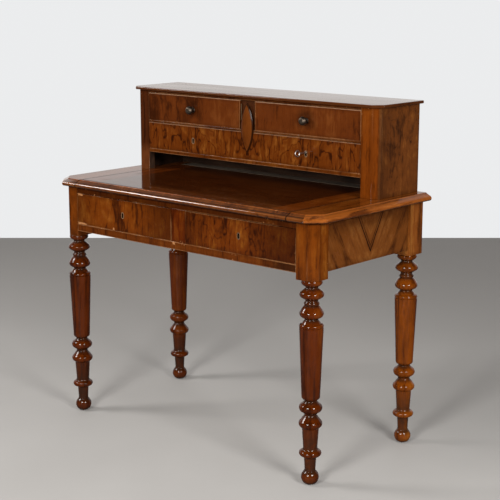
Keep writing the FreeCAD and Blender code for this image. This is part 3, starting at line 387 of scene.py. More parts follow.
def polished(name, dark, middle, light, figure, grain="z", at=(0, 0, 0), fold=None, lean=0.0, wear=0.0016,
             patches=0.3, rub=0.3, gloss=0.2, dullness=0.2, edge_shade=0.35, coat=0.35, wave=0.08, smear=0.35,
             drawn=1.0, lines=None, spots=(), stripes=(), border=None, ends=None, dark_patches=(), joints=()):
    """French-polished walnut.

    fold mirrors the figure about a plane (axis, place); lean tilts the grain from upright there.
    drawn pulls the polish out along X.
    lines: a dark V about the fold (height of its point, lean).
    border: the dark rim of a lens (half width, half height, height of its middle, thickness).
    ends: darker away from a place (axis, place, reach, strength).
    dark_patches: patchy darkening round a place (x, height, reach, strength).
    stripes: level bands (low, high, softness, colour, strength).
    joints: dark upright seams (x, half width).
    spots: chips (x, height, half length, half height).
    """
    finish, w, shader = new_finish(name)
    here = w.place()
    place = dict(zip("xyz", w.add("SeparateXYZ", (here,)).outputs))
    vector = here
    if fold:
        axis, fold_place = fold
        folded = w.math("ABSOLUTE", w.math("SUBTRACT", place[axis], fold_place))
        vector = w.add("CombineXYZ", list({**place, axis: folded}.values())).outputs[0]
    turn = Vector(TURNS[grain]) + Vector((lean, 0.0, 0.0))
    vector = w.add("Mapping", (vector, at, turn)).outputs[0]
    wood = w.use(WALNUT, {"Vector": vector, "Dark": dark, "Middle": middle, "Light": light, **figure})
    edges = w.use(EDGES, {"Vector": here, "Reach": wear, "Patches": patches})
    polish = w.use(POLISH, {"Vector": w.stretch(here, (drawn, 1.0, 1.0)), "Gloss": gloss,
                            "Dullness": dullness, "Smear": smear})
    aged = w.mix(w.math("MULTIPLY", edges["Shade"], edge_shade), wood["Color"], dark)
    if lines:
        aged = dark_v(w, aged, place, fold_place, *lines)
    if border:
        aged = lens_rim(w, aged, place, *border)
    if ends:
        along, *values = ends
        aged = w.use(DARKER_ENDS, (place[along], aged, dark, *values))["Color"]
    for values in dark_patches:
        aged = w.use(DARK_PATCH, (here, aged, *values))["Color"]
    for values in stripes:
        aged = w.use(LEVEL_BAND, (here, aged, *values))["Color"]
    gloss_left = coat
    for values in joints:
        seam = w.use(SEAM, (here, aged, *values))
        aged = seam["Color"]
        gloss_left = w.math("MULTIPLY", seam["Whole"], gloss_left)
    bare = w.math("MAXIMUM", w.math("MULTIPLY", edges["Wear"], rub), edges["Chips"])
    for values in spots:
        bare = w.use(CHIP, (here, bare, *values))["Bare"]
    w.feed(shader.inputs["Base Color"], w.mix(bare, aged, WORN_WOOD))
    w.feed(shader.inputs["Roughness"], w.math("MULTIPLY_ADD", bare, 0.3, polish["Roughness"]))
    rubbed = w.math("MULTIPLY_ADD", bare, -0.8, polish["Coat"])
    w.feed(shader.inputs["Coat Weight"], w.math("MULTIPLY", rubbed, gloss_left))
    polished_relief(w, shader, wood, polish, wave, blur=0.05)
    return finish


def leg_finish(name, dark, middle, light, at):
    """Turned walnut: upright grain, old dark polish in the hollows, brighter on the swellings."""
    finish, w, shader = new_finish(name)
    here = w.place()
    vector = w.add("Mapping", (here, at)).outputs[0]
    wood = w.use(WALNUT, {"Vector": vector, "Dark": dark, "Middle": middle, "Light": light, **TURNED})
    polish = w.use(POLISH, {"Vector": here, "Gloss": 0.14, "Dullness": 0.14})
    w.feed(shader.inputs["Base Color"], w.use(HOLLOW_DIRT, (here, wood["Color"]))["Color"])
    w.feed(shader.inputs["Roughness"], polish["Roughness"])
    w.feed(shader.inputs["Coat Weight"], w.math("MULTIPLY", polish["Coat"], 0.55))
    polished_relief(w, shader, wood, polish, wave=0.1, blur=0.06)
    return finish


def raw_wood(name, dark, middle, light, grain="x", shine=0.5):
    """Unpolished softwood, dry and a little soiled."""
    finish, w, shader = new_finish(name)
    here = w.place()
    vector = w.add("Mapping", {"Vector": here, "Rotation": TURNS[grain]}).outputs[0]
    wood = w.use(WALNUT, {"Vector": vector, "Dark": dark, "Middle": middle, "Light": light, **SOFTWOOD})
    edges = w.use(EDGES, {"Vector": here, "Reach": 0.002, "Patches": 0.4})
    soiled = w.use(SOIL, (here, wood["Color"], dark, light, edges["Shade"], edges["Wear"]))
    w.feed(shader.inputs["Base Color"], soiled["Color"])
    w.feed(shader.inputs["Roughness"], w.between(wood["Grain"], -0.5, 1.0, 0.78, 0.55))
    shader.inputs["Specular IOR Level"].default_value = shine
    relief(w, shader, wood["Grain"], 0.35, 0.0006)
    return finish


def metal(name, clean, tarnish, bright, roughness, age=0.5, shine=1.0):
    """Old metal, rougher and less metallic where it is tarnished."""
    finish, w, shader = new_finish(name)
    old = w.use(TARNISH, (w.place(), clean, tarnish, bright, age))
    w.feed(shader.inputs["Base Color"], old["Color"])
    w.feed(shader.inputs["Metallic"], w.math("MULTIPLY_ADD", old["Patch"], -0.2 * shine, shine))
    w.feed(shader.inputs["Roughness"], w.math("MULTIPLY_ADD", old["Patch"], 0.28, roughness))
    relief(w, shader, old["Scratch"], 0.15, 0.0002)
    return finish


def figured(warp, rings, streaks, mottle, cloud, veins=(20.0, 0.3, 0.0)):
    """Values of a figure: rings (scale, count, strength), streaks (scale, strength), veins (scale, length,
    strength)."""
    labels = ("Warp", "Ring Scale", "Ring Count", "Ring Strength", "Streak Scale", "Streak Strength",
              "Mottle", "Cloud", "Vein Scale", "Vein Length", "Vein Strength")
    return dict(zip(labels, (warp, *rings, *streaks, mottle, cloud, *veins)))


BURR = figured(0.10, (9.0, 3.0, 0.2), (80.0, 0.28), 1.2, 1.4, (12.0, 0.3, 0.18))
CROTCH = figured(0.13, (9.0, 3.0, 0.2), (100.0, 0.45), 1.4, 1.1, (17.0, 0.4, 0.4))
SOFT_CROTCH = figured(0.13, (9.0, 3.0, 0.2), (100.0, 0.36), 1.4, 0.6, (17.0, 0.4, 0.26))
SOFT_BURR = figured(0.09, (8.0, 3.0, 0.15), (60.0, 0.25), 0.9, 1.6, (9.0, 0.5, 0.14))
MOTTLED = figured(0.12, (8.0, 2.0, 0.15), (70.0, 0.25), 1.5, 0.9, (15.0, 0.7, 0.16))
CHEVRON = figured(0.03, (12.0, 4.0, 0.25), (70.0, 0.3), 0.9, 0.9)
QUIET = figured(0.03, (5.0, 3.0, 0.2), (45.0, 0.25), 0.7, 0.8)
CURVED = figured(0.08, (9.0, 4.0, 0.4), (70.0, 0.45), 1.0, 1.3)
LINED = figured(0.05, (9.0, 4.0, 0.25), (85.0, 0.4), 0.7, 0.8)
TURNED = figured(0.012, (7.0, 5.0, 0.4), (75.0, 0.4), 0.5, 0.6)
SOFTWOOD = figured(0.015, (9.0, 9.0, 0.5), (14.0, 0.25), 0.4, 0.5)

# Marks along the desk's edge moulding: seams beside the writing panel, and level lines of painted light:
# painted shade under the nose and in the crease below the step, a painted dark reflection just above the
# nose, and a painted highlight, partly rubbed wear, on its crest
PANEL_SEAMS = ((-0.43, 0.0025), (0.43, 0.0025))
# Painted shade on the underside of the nose.
UNDERSIDE_SHADE = (0.7400, 0.7535, 0.0030, STAIN_AND_SHADE, 0.85)
# Front run: a painted dark reflection just above the nose, a painted highlight (partly rubbed wear) on its
# crest, and the painted shade beneath.
MOULDING_STRIPES = ((0.7653, 0.7670, 0.0007, STAIN_AND_SHADE, 0.7), (0.7612, 0.7638, 0.0008, RUBBED_AND_HIGHLIGHT, 0.2), UNDERSIDE_SHADE)
# End runs: painted shade in the crease below the step, and beneath the nose.
END_STRIPES = ((0.7696, 0.7714, 0.0008, STAIN_AND_SHADE, 0.35), UNDERSIDE_SHADE)

FINISH = {
    "block": polished("corner_block_walnut", shade(0.042, 0.0088, 0.0009), shade(0.116, 0.0258, 0.0018),
                      shade(0.190, 0.058, 0.0060), figure=CURVED, at=(0.2, 0.1, 0), rub=0.15,
                      # The dark band at the very top of the corner block is painted shadow under the desk
                      # top's overhang.
                      stripes=((0.7475, 0.80, 0.003, STAIN_AND_SHADE, 0.7),)),
    "back_block": polished("back_block_walnut", shade(0.066, 0.0172, 0.0030), shade(0.176, 0.0490, 0.0080),
                           shade(0.286, 0.1060, 0.0200), figure=LINED, at=(0.2, 0.1, 0), rub=0.15),
    "frieze_left": polished("frieze_veneer_left", shade(0.0298, 0.0060, 0.0008), shade(0.111, 0.0238, 0.0018),
                            shade(0.190, 0.0600, 0.0070), figure=BURR, at=(1.3, 0, 0.4), rub=0.55,
                            patches=0.4, ends=("x", -0.27, 0.22, 0.7),
                            spots=((-0.432, 0.7265, 0.012, 0.0035), (-0.425, 0.635, 0.02, 0.003),
                                   (-0.28, 0.636, 0.004, 0.004))),
    "frieze_right": polished("frieze_veneer_right", shade(0.0202, 0.0037, 0.0006),
                             shade(0.0900, 0.0182, 0.0015), shade(0.165, 0.0500, 0.0050), figure=SOFT_CROTCH,
                             at=(4.1, 0, 0.9), rub=0.55, patches=0.4, ends=("x", 0.19, 0.20, 0.7)),
    "stile": polished("frieze_stile_veneer", shade(0.0230, 0.0038, 0.0004), shade(0.0620, 0.0092, 0.0006),
                      shade(0.100, 0.0215, 0.0018), figure=CURVED, at=(2.2, 0, 0)),
    "rail": polished("crossbanded_rail", shade(0.0320, 0.0066, 0.0008), shade(0.0910, 0.0205, 0.0020),
                     shade(0.158, 0.0470, 0.0060), figure=LINED, at=(3.7, 0, 0), patches=0.45, rub=0.5,
                     # The dark patch at the rail's right end only darkens it there.
                     spots=((-0.02, 0.6285, 0.005, 0.006),), dark_patches=((0.43, 0.62, 0.17, 0.75),)),
    # Darker colours and a dark band at the top: painted shade under the desk top's overhang on the frieze's
    # top rail; the cabinet's divider and top rail share the darker colours.
    "top_rail": polished("rail_with_painted_shade", shade(0.0210, 0.0042, 0.0005), shade(0.0580, 0.0118, 0.0011),
                         shade(0.104, 0.0280, 0.0030), figure=LINED, at=(3.7, 0, 0), patches=0.4,
                         stripes=((0.7455, 0.80, 0.004, STAIN_AND_SHADE, 0.75),)),
    "side": polished("chevron_side_veneer", shade(0.0360, 0.0094, 0.0020), shade(0.125, 0.0370, 0.0066),
                     shade(0.205, 0.0740, 0.0160), figure=CHEVRON, fold=("y", 0.018), lean=math.radians(29),
                     at=(0, 0.4, 0), lines=(0.636, math.radians(29)),
                     # The darkening along the top of the side rail, fading over some 6 cm, is painted shade
                     # under the desk top's overhang.
                     stripes=((0.746, 0.80, 0.065, shade(0.026, 0.0066, 0.0014), 0.72),)),
    "top": polished("desk_top_walnut", shade(0.018, 0.0038, 0.0010), shade(0.047, 0.0108, 0.0020),
                    shade(0.080, 0.0225, 0.0050), grain="x", figure=QUIET, gloss=0.12, dullness=0.1,
                    patches=0.2, coat=0.5, wave=0.02, smear=0.2, drawn=0.15),
    "band": polished("crossbanded_panel_end", shade(0.050, 0.0090, 0.0011), shade(0.120, 0.0245, 0.0025),
                     shade(0.190, 0.0480, 0.0060), grain="y", figure=LINED, gloss=0.12, dullness=0.1,
                     patches=0.2, coat=0.5, wave=0.02, smear=0.2),
    "top_end": polished("desk_top_end_walnut", shade(0.060, 0.0130, 0.0016), shade(0.150, 0.0360, 0.0040),
                        shade(0.235, 0.0700, 0.0095), grain="y", figure=LINED, gloss=0.12, dullness=0.1,
                        patches=0.2, coat=0.5, wave=0.02, smear=0.2),
    "moulding_flat": polished("moulding_flat_walnut", shade(0.060, 0.0140, 0.0020),
                              shade(0.150, 0.0380, 0.0072), shade(0.230, 0.0700, 0.0150), grain="y",
                              figure=LINED, wear=0.0012, rub=0.2, edge_shade=0.1, coat=0.1, smear=0.15,
                              joints=PANEL_SEAMS),
    "moulding": polished("edge_moulding_walnut", shade(0.033, 0.0072, 0.0010), shade(0.092, 0.0240, 0.0033),
                         shade(0.150, 0.0470, 0.0085), grain="y", figure=LINED, wear=0.0012, rub=0.2,
                         edge_shade=0.1, coat=1.0, gloss=0.15, smear=0.15, stripes=MOULDING_STRIPES,
                         joints=PANEL_SEAMS),
    "end_moulding": polished("end_moulding_walnut", shade(0.085, 0.0200, 0.0028),
                             shade(0.240, 0.0660, 0.0100), shade(0.370, 0.1250, 0.0240), grain="y",
                             figure=LINED, wear=0.0012, rub=0.2, edge_shade=0.1, coat=0.8, gloss=0.15,
                             smear=0.15, stripes=END_STRIPES),
    "crown_edge": polished("cabinet_top_edge_walnut", shade(0.022, 0.0056, 0.0014),
                           shade(0.058, 0.0160, 0.0036), shade(0.098, 0.0320, 0.0080), grain="x",
                           figure=QUIET, gloss=0.15, coat=0.6, rub=0.4),
    "crown": polished("cabinet_top_walnut", shade(0.036, 0.0098, 0.0026), shade(0.086, 0.0260, 0.0058),
                      shade(0.136, 0.0490, 0.0130), grain="x", figure=QUIET, gloss=0.15, dullness=0.1,
                      coat=0.75, wave=0.02, smear=0.12, drawn=0.1),
    "left_post": polished("shaded_post_walnut", shade(0.018, 0.0042, 0.0012), shade(0.048, 0.0116, 0.0027),
                          shade(0.078, 0.0230, 0.0072), figure=LINED, at=(6.2, 0, 0), rub=0.15,
                          # The lighter band low on the post is painted light reflected up from the desk top.
                          stripes=((0.76, 0.82, 0.05, shade(0.105, 0.0310, 0.0090), 0.8),)),
    "post": polished("cabinet_post_walnut", shade(0.046, 0.0092, 0.0010), shade(0.122, 0.0266, 0.0021),
                     shade(0.190, 0.0530, 0.0060), figure=LINED, at=(5.2, 0, 0), rub=0.1),
    "cabinet_side": polished("mottled_side_veneer", shade(0.034, 0.0110, 0.0036),
                             shade(0.108, 0.0315, 0.0066), shade(0.196, 0.0660, 0.0130), figure=MOTTLED,
                             at=(0.5, 2.0, 0), rub=0.2, ends=("y", 0.20, 0.13, 0.55)),
    "long": polished("long_drawer_veneer", shade(0.024, 0.0050, 0.0009), shade(0.094, 0.0205, 0.0022),
                     shade(0.178, 0.0570, 0.0080), figure=CROTCH, fold=("x", 0.0), at=(7.7, 0, 0.3), rub=0.55,
                     patches=0.4, stripes=((0.9287, 0.9350, 0.0010, CREAM, 0.3),)),
    "small": polished("small_drawer_walnut", shade(0.028, 0.0063, 0.0014), shade(0.0805, 0.0182, 0.00315),
                      shade(0.126, 0.0350, 0.0070), figure=SOFT_BURR, at=(9.1, 0, 0), rub=0.6, patches=0.4,
                      stripes=((1.0240, 1.0300, 0.0010, CREAM, 0.5),),
                      # Handling dirt round the knobs.
                      dark_patches=((-0.232, 0.982, 0.04, 0.35), (0.232, 0.985, 0.055, 0.6))),
    "lens": polished("lens_walnut", shade(0.0324, 0.0068, 0.0012), shade(0.0950, 0.0240, 0.0036),
                     shade(0.158, 0.0510, 0.0090), figure=LINED, at=(0.9, 0, 0), wear=0.001, coat=0.04,
                     border=(0.0255, 0.078, 0.942, 0.0052)),
    "dark": polished("dark_centre_post", shade(0.0160, 0.0050, 0.0019), shade(0.0450, 0.0130, 0.0042),
                     shade(0.080, 0.0260, 0.0090), figure=QUIET, gloss=0.3, rub=0.05, coat=0.2),
    # Near-black inner wood: painted shade inside the recess under the cabinet and inside the cabinet.
    "inner": raw_wood("inner_wood_in_painted_shade", shade(0.010, 0.005, 0.003), shade(0.028, 0.013, 0.007),
                      shade(0.05, 0.025, 0.013), shine=0.15),
    "back": raw_wood("stained_back_wood", shade(0.05, 0.018, 0.007), shade(0.13, 0.054, 0.022),
                     shade(0.21, 0.098, 0.043)),
    "pale": raw_wood("pale_drawer_wood_lengthwise", shade(0.18, 0.10, 0.045), shade(0.36, 0.23, 0.12),
                     shade(0.50, 0.35, 0.20), grain="y"),
    "pale_across": raw_wood("pale_drawer_wood_crosswise", shade(0.18, 0.10, 0.045), shade(0.36, 0.23, 0.12),
                            shade(0.50, 0.35, 0.20)),
    "strip": raw_wood("bare_back_strip", shade(0.05, 0.034, 0.022), shade(0.12, 0.088, 0.062),
                      shade(0.22, 0.17, 0.125)),
    "seam": raw_wood("dirty_seam_wood", shade(0.004, 0.002, 0.001), shade(0.010, 0.005, 0.003),
                     shade(0.02, 0.01, 0.006), shine=0.05),
    "leg": leg_finish("leg_walnut", shade(0.025, 0.0040, 0.0003), shade(0.070, 0.0120, 0.0007),
                      shade(0.130, 0.029, 0.0025), (0.3, 0.7, 0.1)),
    "pale_leg": leg_finish("pale_leg_walnut", shade(0.060, 0.0125, 0.0009), shade(0.155, 0.0350, 0.0020),
                           shade(0.260, 0.0760, 0.0065), (1.3, 0.2, 0.4)),
    "keyhole": metal("dull_keyhole_brass", shade(0.18, 0.095, 0.040), shade(0.10, 0.050, 0.020),
                     shade(0.26, 0.155, 0.075), roughness=0.5, shine=0.2),
    # A darker copy of the keyhole brass for the right frieze drawer's keyhole: painted shade.
    "keyhole_in_painted_shade": metal("shaded_keyhole_brass", shade(0.10, 0.052, 0.022), shade(0.06, 0.030, 0.012),
                            shade(0.16, 0.095, 0.045), roughness=0.5, shine=0.2),
    "bronze": metal("dark_bronze", shade(0.10, 0.075, 0.055), shade(0.03, 0.024, 0.02),
                    shade(0.32, 0.25, 0.18), roughness=0.34, age=0.6),
    "steel": metal("worn_steel", shade(0.52, 0.50, 0.47), shade(0.16, 0.13, 0.10), shade(0.75, 0.73, 0.70),
                   roughness=0.28, age=0.35),
}

# Pieces


def keep(node, shape, finishes, smooth=38):
    """Finished piece from a bmesh, standing for a CAD node and moving with its body."""
    mesh = bpy.data.meshes.new(node + "_finished")
    shape.to_mesh(mesh)
    shape.free()
    mesh.polygons.foreach_set("use_smooth", [True] * len(mesh.polygons))
    mesh.set_sharp_from_angle(angle=math.radians(smooth))
    piece = bpy.data.objects.new(node + "_finished", mesh)
    bpy.context.scene.collection.objects.link(piece)
    even = piece.modifiers.new("even_shading", "WEIGHTED_NORMAL")
    even.keep_sharp = True
    even.weight = 100
    for finish in finishes:
        mesh.materials.append(FINISH[finish])
    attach(piece, CARRIER[node])
    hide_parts(node)
    return piece


def merged(node):
    """Bmesh copy of a CAD node with its loose triangles joined into whole faces."""
    shape = bmesh.new()
    shape.from_mesh(frame["nodes"][node].data)
    bmesh.ops.remove_doubles(shape, verts=shape.verts, dist=1e-5)
    bmesh.ops.dissolve_limit(shape, angle_limit=math.radians(0.5), verts=shape.verts, edges=shape.edges)
    for layer in list(shape.loops.layers.uv.values()):
        shape.loops.layers.uv.remove(layer)
    return shape


def smooth_groups(faces):
    """Runs of faces that meet at shallow angles."""
    left = set(faces)
    while left:
        group = [left.pop()]
        for face in group:
            for edge in face.edges:
                if edge.calc_face_angle(math.pi) < math.radians(25):
                    joined = [other for other in edge.link_faces if other in left]
                    left.difference_update(joined)
                    group.extend(joined)
        yield group


def mark_rims(shape, eased_faces):
    """Keep on each corner how far it lies from the four sides of its flat face, in metres."""
    rim = shape.loops.layers.float_color.new("rim")
    for face in eased_faces:
        for loop in face.loops:
            loop[rim] = (0.0, 0.0, 0.0, 0.0)
    for group in smooth_groups(set(shape.faces) - eased_faces):
        normal = group[0].normal
        flat = all(face.normal.dot(normal) > 0.9999 for face in group)
        up = Vector((0, 0, 1)) if abs(normal.z) < 0.9 else Vector((0, 1, 0))
        along = up.cross(normal).normalized()
        across = normal.cross(along)
        spots = [vert.co for face in group for vert in face.verts]
        low = [min(spot.dot(axis) for spot in spots) for axis in (along, across)]
        high = [max(spot.dot(axis) for spot in spots) for axis in (along, across)]
        for face in group:
            for loop in face.loops:
                a, b = loop.vert.co.dot(along), loop.vert.co.dot(across)
                loop[rim] = (a - low[0], high[0] - a, b - low[1], high[1] - b) if flat else (1, 1, 1, 1)


def eased(node, finishes, ease=0.0012, pick=None, cuts=()):
    """Board with softened arrises, parted at cuts along X; pick(face) gives the number of its finish."""
    shape = merged(node)
    for place in cuts:
        bmesh.ops.bisect_plane(shape, geom=shape.verts[:] + shape.edges[:] + shape.faces[:],
                               plane_co=(place, 0, 0), plane_no=(1, 0, 0))
    arrises = [edge for edge in shape.edges
               if edge.is_manifold and edge.is_convex and edge.calc_face_angle() > math.radians(35)]
    made = bmesh.ops.bevel(shape, geom=arrises, offset=ease, offset_type="OFFSET", affect="EDGES", segments=2,
                           profile=0.5, material=-1, clamp_overlap=True)
    shape.normal_update()
    mark_rims(shape, set(made["faces"]))
    if pick:
        for face in shape.faces:
            face.material_index = int(pick(face))
    return keep(node, shape, finishes)


def arc(start, crest, end, count=12):
    """Points of a round profile from start to end through its crest, without the start."""
    (ax, ay), (bx, by), (cx, cy) = start, crest, end
    det = 2 * (ax * (by - cy) + bx * (cy - ay) + cx * (ay - by))
    a, b, c = ax ** 2 + ay ** 2, bx ** 2 + by ** 2, cx ** 2 + cy ** 2
    ux = (a * (by - cy) + b * (cy - ay) + c * (ay - by)) / det
    uy = (a * (cx - bx) + b * (ax - cx) + c * (bx - ax)) / det
    first = math.atan2(ay - uy, ax - ux)
    last = math.atan2(cy - uy, cx - ux)
    through = math.atan2(by - uy, bx - ux)
    reach = math.hypot(ax - ux, ay - uy)
    sweep = (last - first) % (2 * math.pi)
    if (through - first) % (2 * math.pi) > sweep:
        sweep -= 2 * math.pi
    angles = [first + sweep * i / count for i in range(1, count + 1)]
    return [(ux + reach * math.cos(angle), uy + reach * math.sin(angle)) for angle in angles]


# Leg from the floor up, in millimetres: (height, diameter) goes straight there, and
# (height, diameter, height, diameter) goes round through a crest to an end
LEG_PROFILE = [
    (0, 20), (4, 36), (21, 50, 39, 33), (43, 31, 48, 31), (76, 34), (80, 36, 83, 46), (92, 63, 101, 46),
    (105, 41, 109, 40), (164, 47), (166, 49, 168, 53), (177, 66, 188, 58), (195, 48, 200, 40),
    (204.5, 35, 209, 40), (211, 45, 214, 54), (225, 65, 236, 54), (239, 45, 242, 40), (245.5, 35, 249, 40),
    (251, 47, 257, 52), (455, 67.5), (456, 64), (461, 68, 466, 62), (467, 54), (470, 50, 474, 45),
    (475.5, 42), (478.5, 38, 482, 43), (484, 52, 487, 61), (494, 67, 503, 62), (510, 54, 517, 42), (518, 39),
    (523, 43, 528, 39), (531.5, 35, 535, 40), (537, 47, 540, 57), (549, 68, 558, 57), (562, 47, 565, 40),
    (568.5, 35, 572, 40), (574, 47, 577, 54), (583, 59, 590, 53), (590, 26), (606, 26),
]


def turned(node, profile, centre, finish, steps=72):
    """Turning about an upright axis from (height, diameter) steps in millimetres."""
    points = []
    for step in profile:
        if len(step) == 2:
            points.append((step[1] / 2000, step[0] / 1000))
        else:
            crest, end = (step[1] / 2000, step[0] / 1000), (step[3] / 2000, step[2] / 1000)
            points.extend(arc(points[-1], crest, end))
    points = [(0.0, points[0][1])] + points + [(0.0, points[-1][1])]
    shape = bmesh.new()
    verts = [shape.verts.new((x, 0, z)) for x, z in points]
    for pair in zip(verts, verts[1:]):
        shape.edges.new(pair)
    bmesh.ops.spin(shape, geom=shape.verts[:] + shape.edges[:], cent=(0, 0, 0), axis=(0, 0, 1),
                   angle=2 * math.pi, steps=steps, use_merge=True)
    bmesh.ops.remove_doubles(shape, verts=shape.verts, dist=1e-6)
    bmesh.ops.recalc_face_normals(shape, faces=shape.faces)
    radius = shape.verts.layers.float.new("radius")
    for vert in shape.verts:
        vert[radius] = math.hypot(vert.co.x, vert.co.y)
    bmesh.ops.translate(shape, verts=shape.verts, vec=centre)
    return keep(node, shape, [finish])


def middle_of(node):
    """Middle of a node's box."""
    low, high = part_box(node)
    return (low + high) / 2


for node in ("leg_front_left", "leg_front_right", "leg_back_left", "leg_back_right"):
    spot = middle_of(node)
    turned(node, LEG_PROFILE, (spot.x, spot.y, 0.0), "pale_leg" if node == "leg_back_right" else "leg")


# Places on the boards where one finish gives way to another, in metres
STEP_FOOT = 0.7715
BAND = 0.352
POST_EDGE = 0.4853
END_EDGE_X, END_EDGE_Y, END_CANT, SEAM_SIDE = 0.508, -0.24, 0.0294, 0.44


def faces_back(face):
    """Towards the back of the desk."""
    return face.normal.y > 0.5


def is_edge(face):
    """Not on top of a board."""
    return face.normal.z < 0.5


def on_flat(face):
    """The flat and the step along the top of the edge moulding."""
    return face.calc_center_median().z > STEP_FOOT


def moulded(face):
    """On a fixed end of the top: 0 on its board, 1 and 3 on its front moulding and the flat there, 2 on the
    moulding of its cant and side, 4 towards the seam."""
    x, y, _ = face.calc_center_median()
    if abs(x) < SEAM_SIDE and face.normal.x * x < -0.04:
        return 4
    past_cant = abs(x) - END_EDGE_X + END_CANT > y - END_EDGE_Y
    if abs(x) > END_EDGE_X or past_cant and abs(face.normal.x) > 0.1:
        return 2
    if y < END_EDGE_Y or past_cant:
        return 3 if on_flat(face) else 1
    return 0


def faces_in(face):
    """Towards the middle of the cabinet."""
    return face.normal.x * face.calc_center_median().x < -0.1


def post_face(face):
    """On the cabinet's corner posts: 0 and 2 on the right and left front, 1 outside, 3 inside."""
    x = face.calc_center_median().x
    if abs(face.normal.x) > 0.95 or abs(x) > POST_EDGE:
        return 3 if faces_in(face) else 1
    return 0 if x > 0 else 2


def panel_face(face):
    """On the writing panel: 0 on its field, 1 on the crossbanding of its ends, 2 elsewhere."""
    if face.normal.z < 0.99:
        return 2
    return abs(face.calc_center_median().x) > BAND


BOARDS = {
    "front_corner_blocks": "block", "back_corner_blocks": "back_block",
    "frieze_top_rail": "top_rail", "frieze_bottom_rail": "rail", "frieze_centre_stile": "stile",
    "side_rails": "side", "back_rail": "back",
    "cabinet_bottom_board": "rail", "cabinet_divider_board": "top_rail", "cabinet_centre_post": "dark",
    "cabinet_top_rail": "top_rail",
}
for node, finish in BOARDS.items():
    eased(node, [finish])
eased("cabinet_corner_posts", ["post", "cabinet_side", "left_post", "inner"], pick=post_face,
      cuts=(-POST_EDGE, POST_EDGE))
eased("cabinet_sides", ["cabinet_side", "inner"], pick=faces_in)
eased("cabinet_top_board", ["crown", "crown_edge"], pick=is_edge)
eased("cabinet_back_panel", ["inner", "back"], pick=faces_back)
eased("top_back_strip", ["strip", "back"], pick=faces_back)
eased("writing_panel", ["top", "band", "seam"], ease=0.0018, pick=panel_face, cuts=(-BAND, BAND))
eased("writing_panel_moulding", ["moulding", "moulding_flat"], pick=on_flat)
for node in ("top_end_left", "top_end_right"):
    eased(node, ["top_end", "moulding", "end_moulding", "moulding_flat", "seam"], pick=moulded)
DRAWERS = {"frieze_drawer_left": "frieze_left", "frieze_drawer_right": "frieze_right", "long_drawer": "long",
           "small_drawer_left": "small", "small_drawer_right": "small"}
for drawer, finish in DRAWERS.items():
    eased(drawer + "_front", [finish, "pale_across"], ease=0.0016, pick=faces_back)
    eased(drawer + "_sides", ["pale"], ease=0.0008)
    eased(drawer + "_back", ["pale_across"], ease=0.0008)
    eased(drawer + "_bottom", ["pale_across"], ease=0.0006)


def lens_shape(edge=0.0015):
    """Lens ornament: a flat back, a thin edge and a face that swells both ways to its middle."""
    low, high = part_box("lens_ornament")
    half, centre = (high - low) / 2, (high + low) / 2
    reach = (half.z ** 2 + half.x ** 2) / (2 * half.x)
    shape = bmesh.new()
    bmesh.ops.create_grid(shape, x_segments=20, y_segments=60, size=1.0)
    for vert in shape.verts:
        across, up = vert.co.x, math.sin(vert.co.y * math.pi / 2) * half.z
        width = max(math.sqrt(reach ** 2 - up ** 2) - reach + half.x, 0.0)
        swell = (2 * half.y - edge) * width / half.x * (1 - across ** 2)
        vert.co = (across * width, high.y - edge - swell, centre.z + up)
    bmesh.ops.remove_doubles(shape, verts=shape.verts, dist=1e-6)
    rim = [line for line in shape.edges if line.is_boundary]
    wall = bmesh.ops.extrude_edge_only(shape, edges=rim)["geom"]
    for vert in wall:
        if isinstance(vert, bmesh.types.BMVert):
            vert.co.y = high.y
    bmesh.ops.holes_fill(shape, edges=[line for line in shape.edges if line.is_boundary])
    bmesh.ops.recalc_face_normals(shape, faces=shape.faces)
    return shape


ornament = lens_shape()
mark_rims(ornament, set())
keep("lens_ornament", ornament, ["lens"], smooth=32)
ROUNDED = {"key": "steel", "small_drawer_left_knob": "bronze", "small_drawer_right_knob": "bronze"}
for node, finish in ROUNDED.items():
    shape = merged(node)
    mark_rims(shape, set())
    keep(node, shape, [finish], smooth=32)
PLATES = {"frieze_drawer_left_lock_escutcheon": "keyhole",
          "frieze_drawer_right_lock_escutcheon": "keyhole_in_painted_shade", "long_drawer_escutcheons": "keyhole"}
for node, finish in PLATES.items():
    shape = merged(node)
    for face in shape.faces:
        face.material_index = 0 if face.normal.y < -0.5 else 1
    keep(node, shape, [finish, "seam"], smooth=32)

# Inner pieces that keep the shape of their solids
UNSEEN = {"drawer_runners_and_guides": "pale", "writing_panel_stops": "pale_across",
          "frieze_drawer_left_lock_case": "steel", "frieze_drawer_right_lock_case": "steel",
          "long_drawer_lock_cases": "steel", "frieze_drawer_left_lock_bolt": "steel",
          "frieze_drawer_right_lock_bolt": "steel", "long_drawer_lock_left_bolt": "steel",
          "long_drawer_lock_right_bolt": "steel"}
for node, finish in UNSEEN.items():
    mesh = frame["nodes"][node].data
    for slot in range(len(mesh.materials)):
        mesh.materials[slot] = FINISH[finish]

# Floor, light, camera

VIEW = math.radians(41.62)
TILT = math.radians(12.0)
CAMERA_PLACE = (2.6078, -2.8647, 1.3931)
FOCAL_PIXELS, PICTURE_PIXELS, SENSOR = 1281.47, 500, 36.0
DESK_MIDDLE = Vector((0, 0, 0.55))
FLOOR_HALF_WIDTH, FLOOR_HALF_LENGTH, FLOOR_FORWARD = 9.0, 6.0, 3.0
WALL_GLOW, ROOM_GLOW, CEILING_SHARE, FILL = 0.85, 0.03, 0.12, 0.28


def round_the_desk(azimuth, elevation, reach):
    """Place seen from the middle of the desk at an azimuth from the front and an elevation."""
    turn, rise = math.radians(azimuth), math.radians(elevation)
    away = Vector((math.sin(turn) * math.cos(rise), -math.cos(turn) * math.cos(rise), math.sin(rise)))
    return away * reach + DESK_MIDDLE


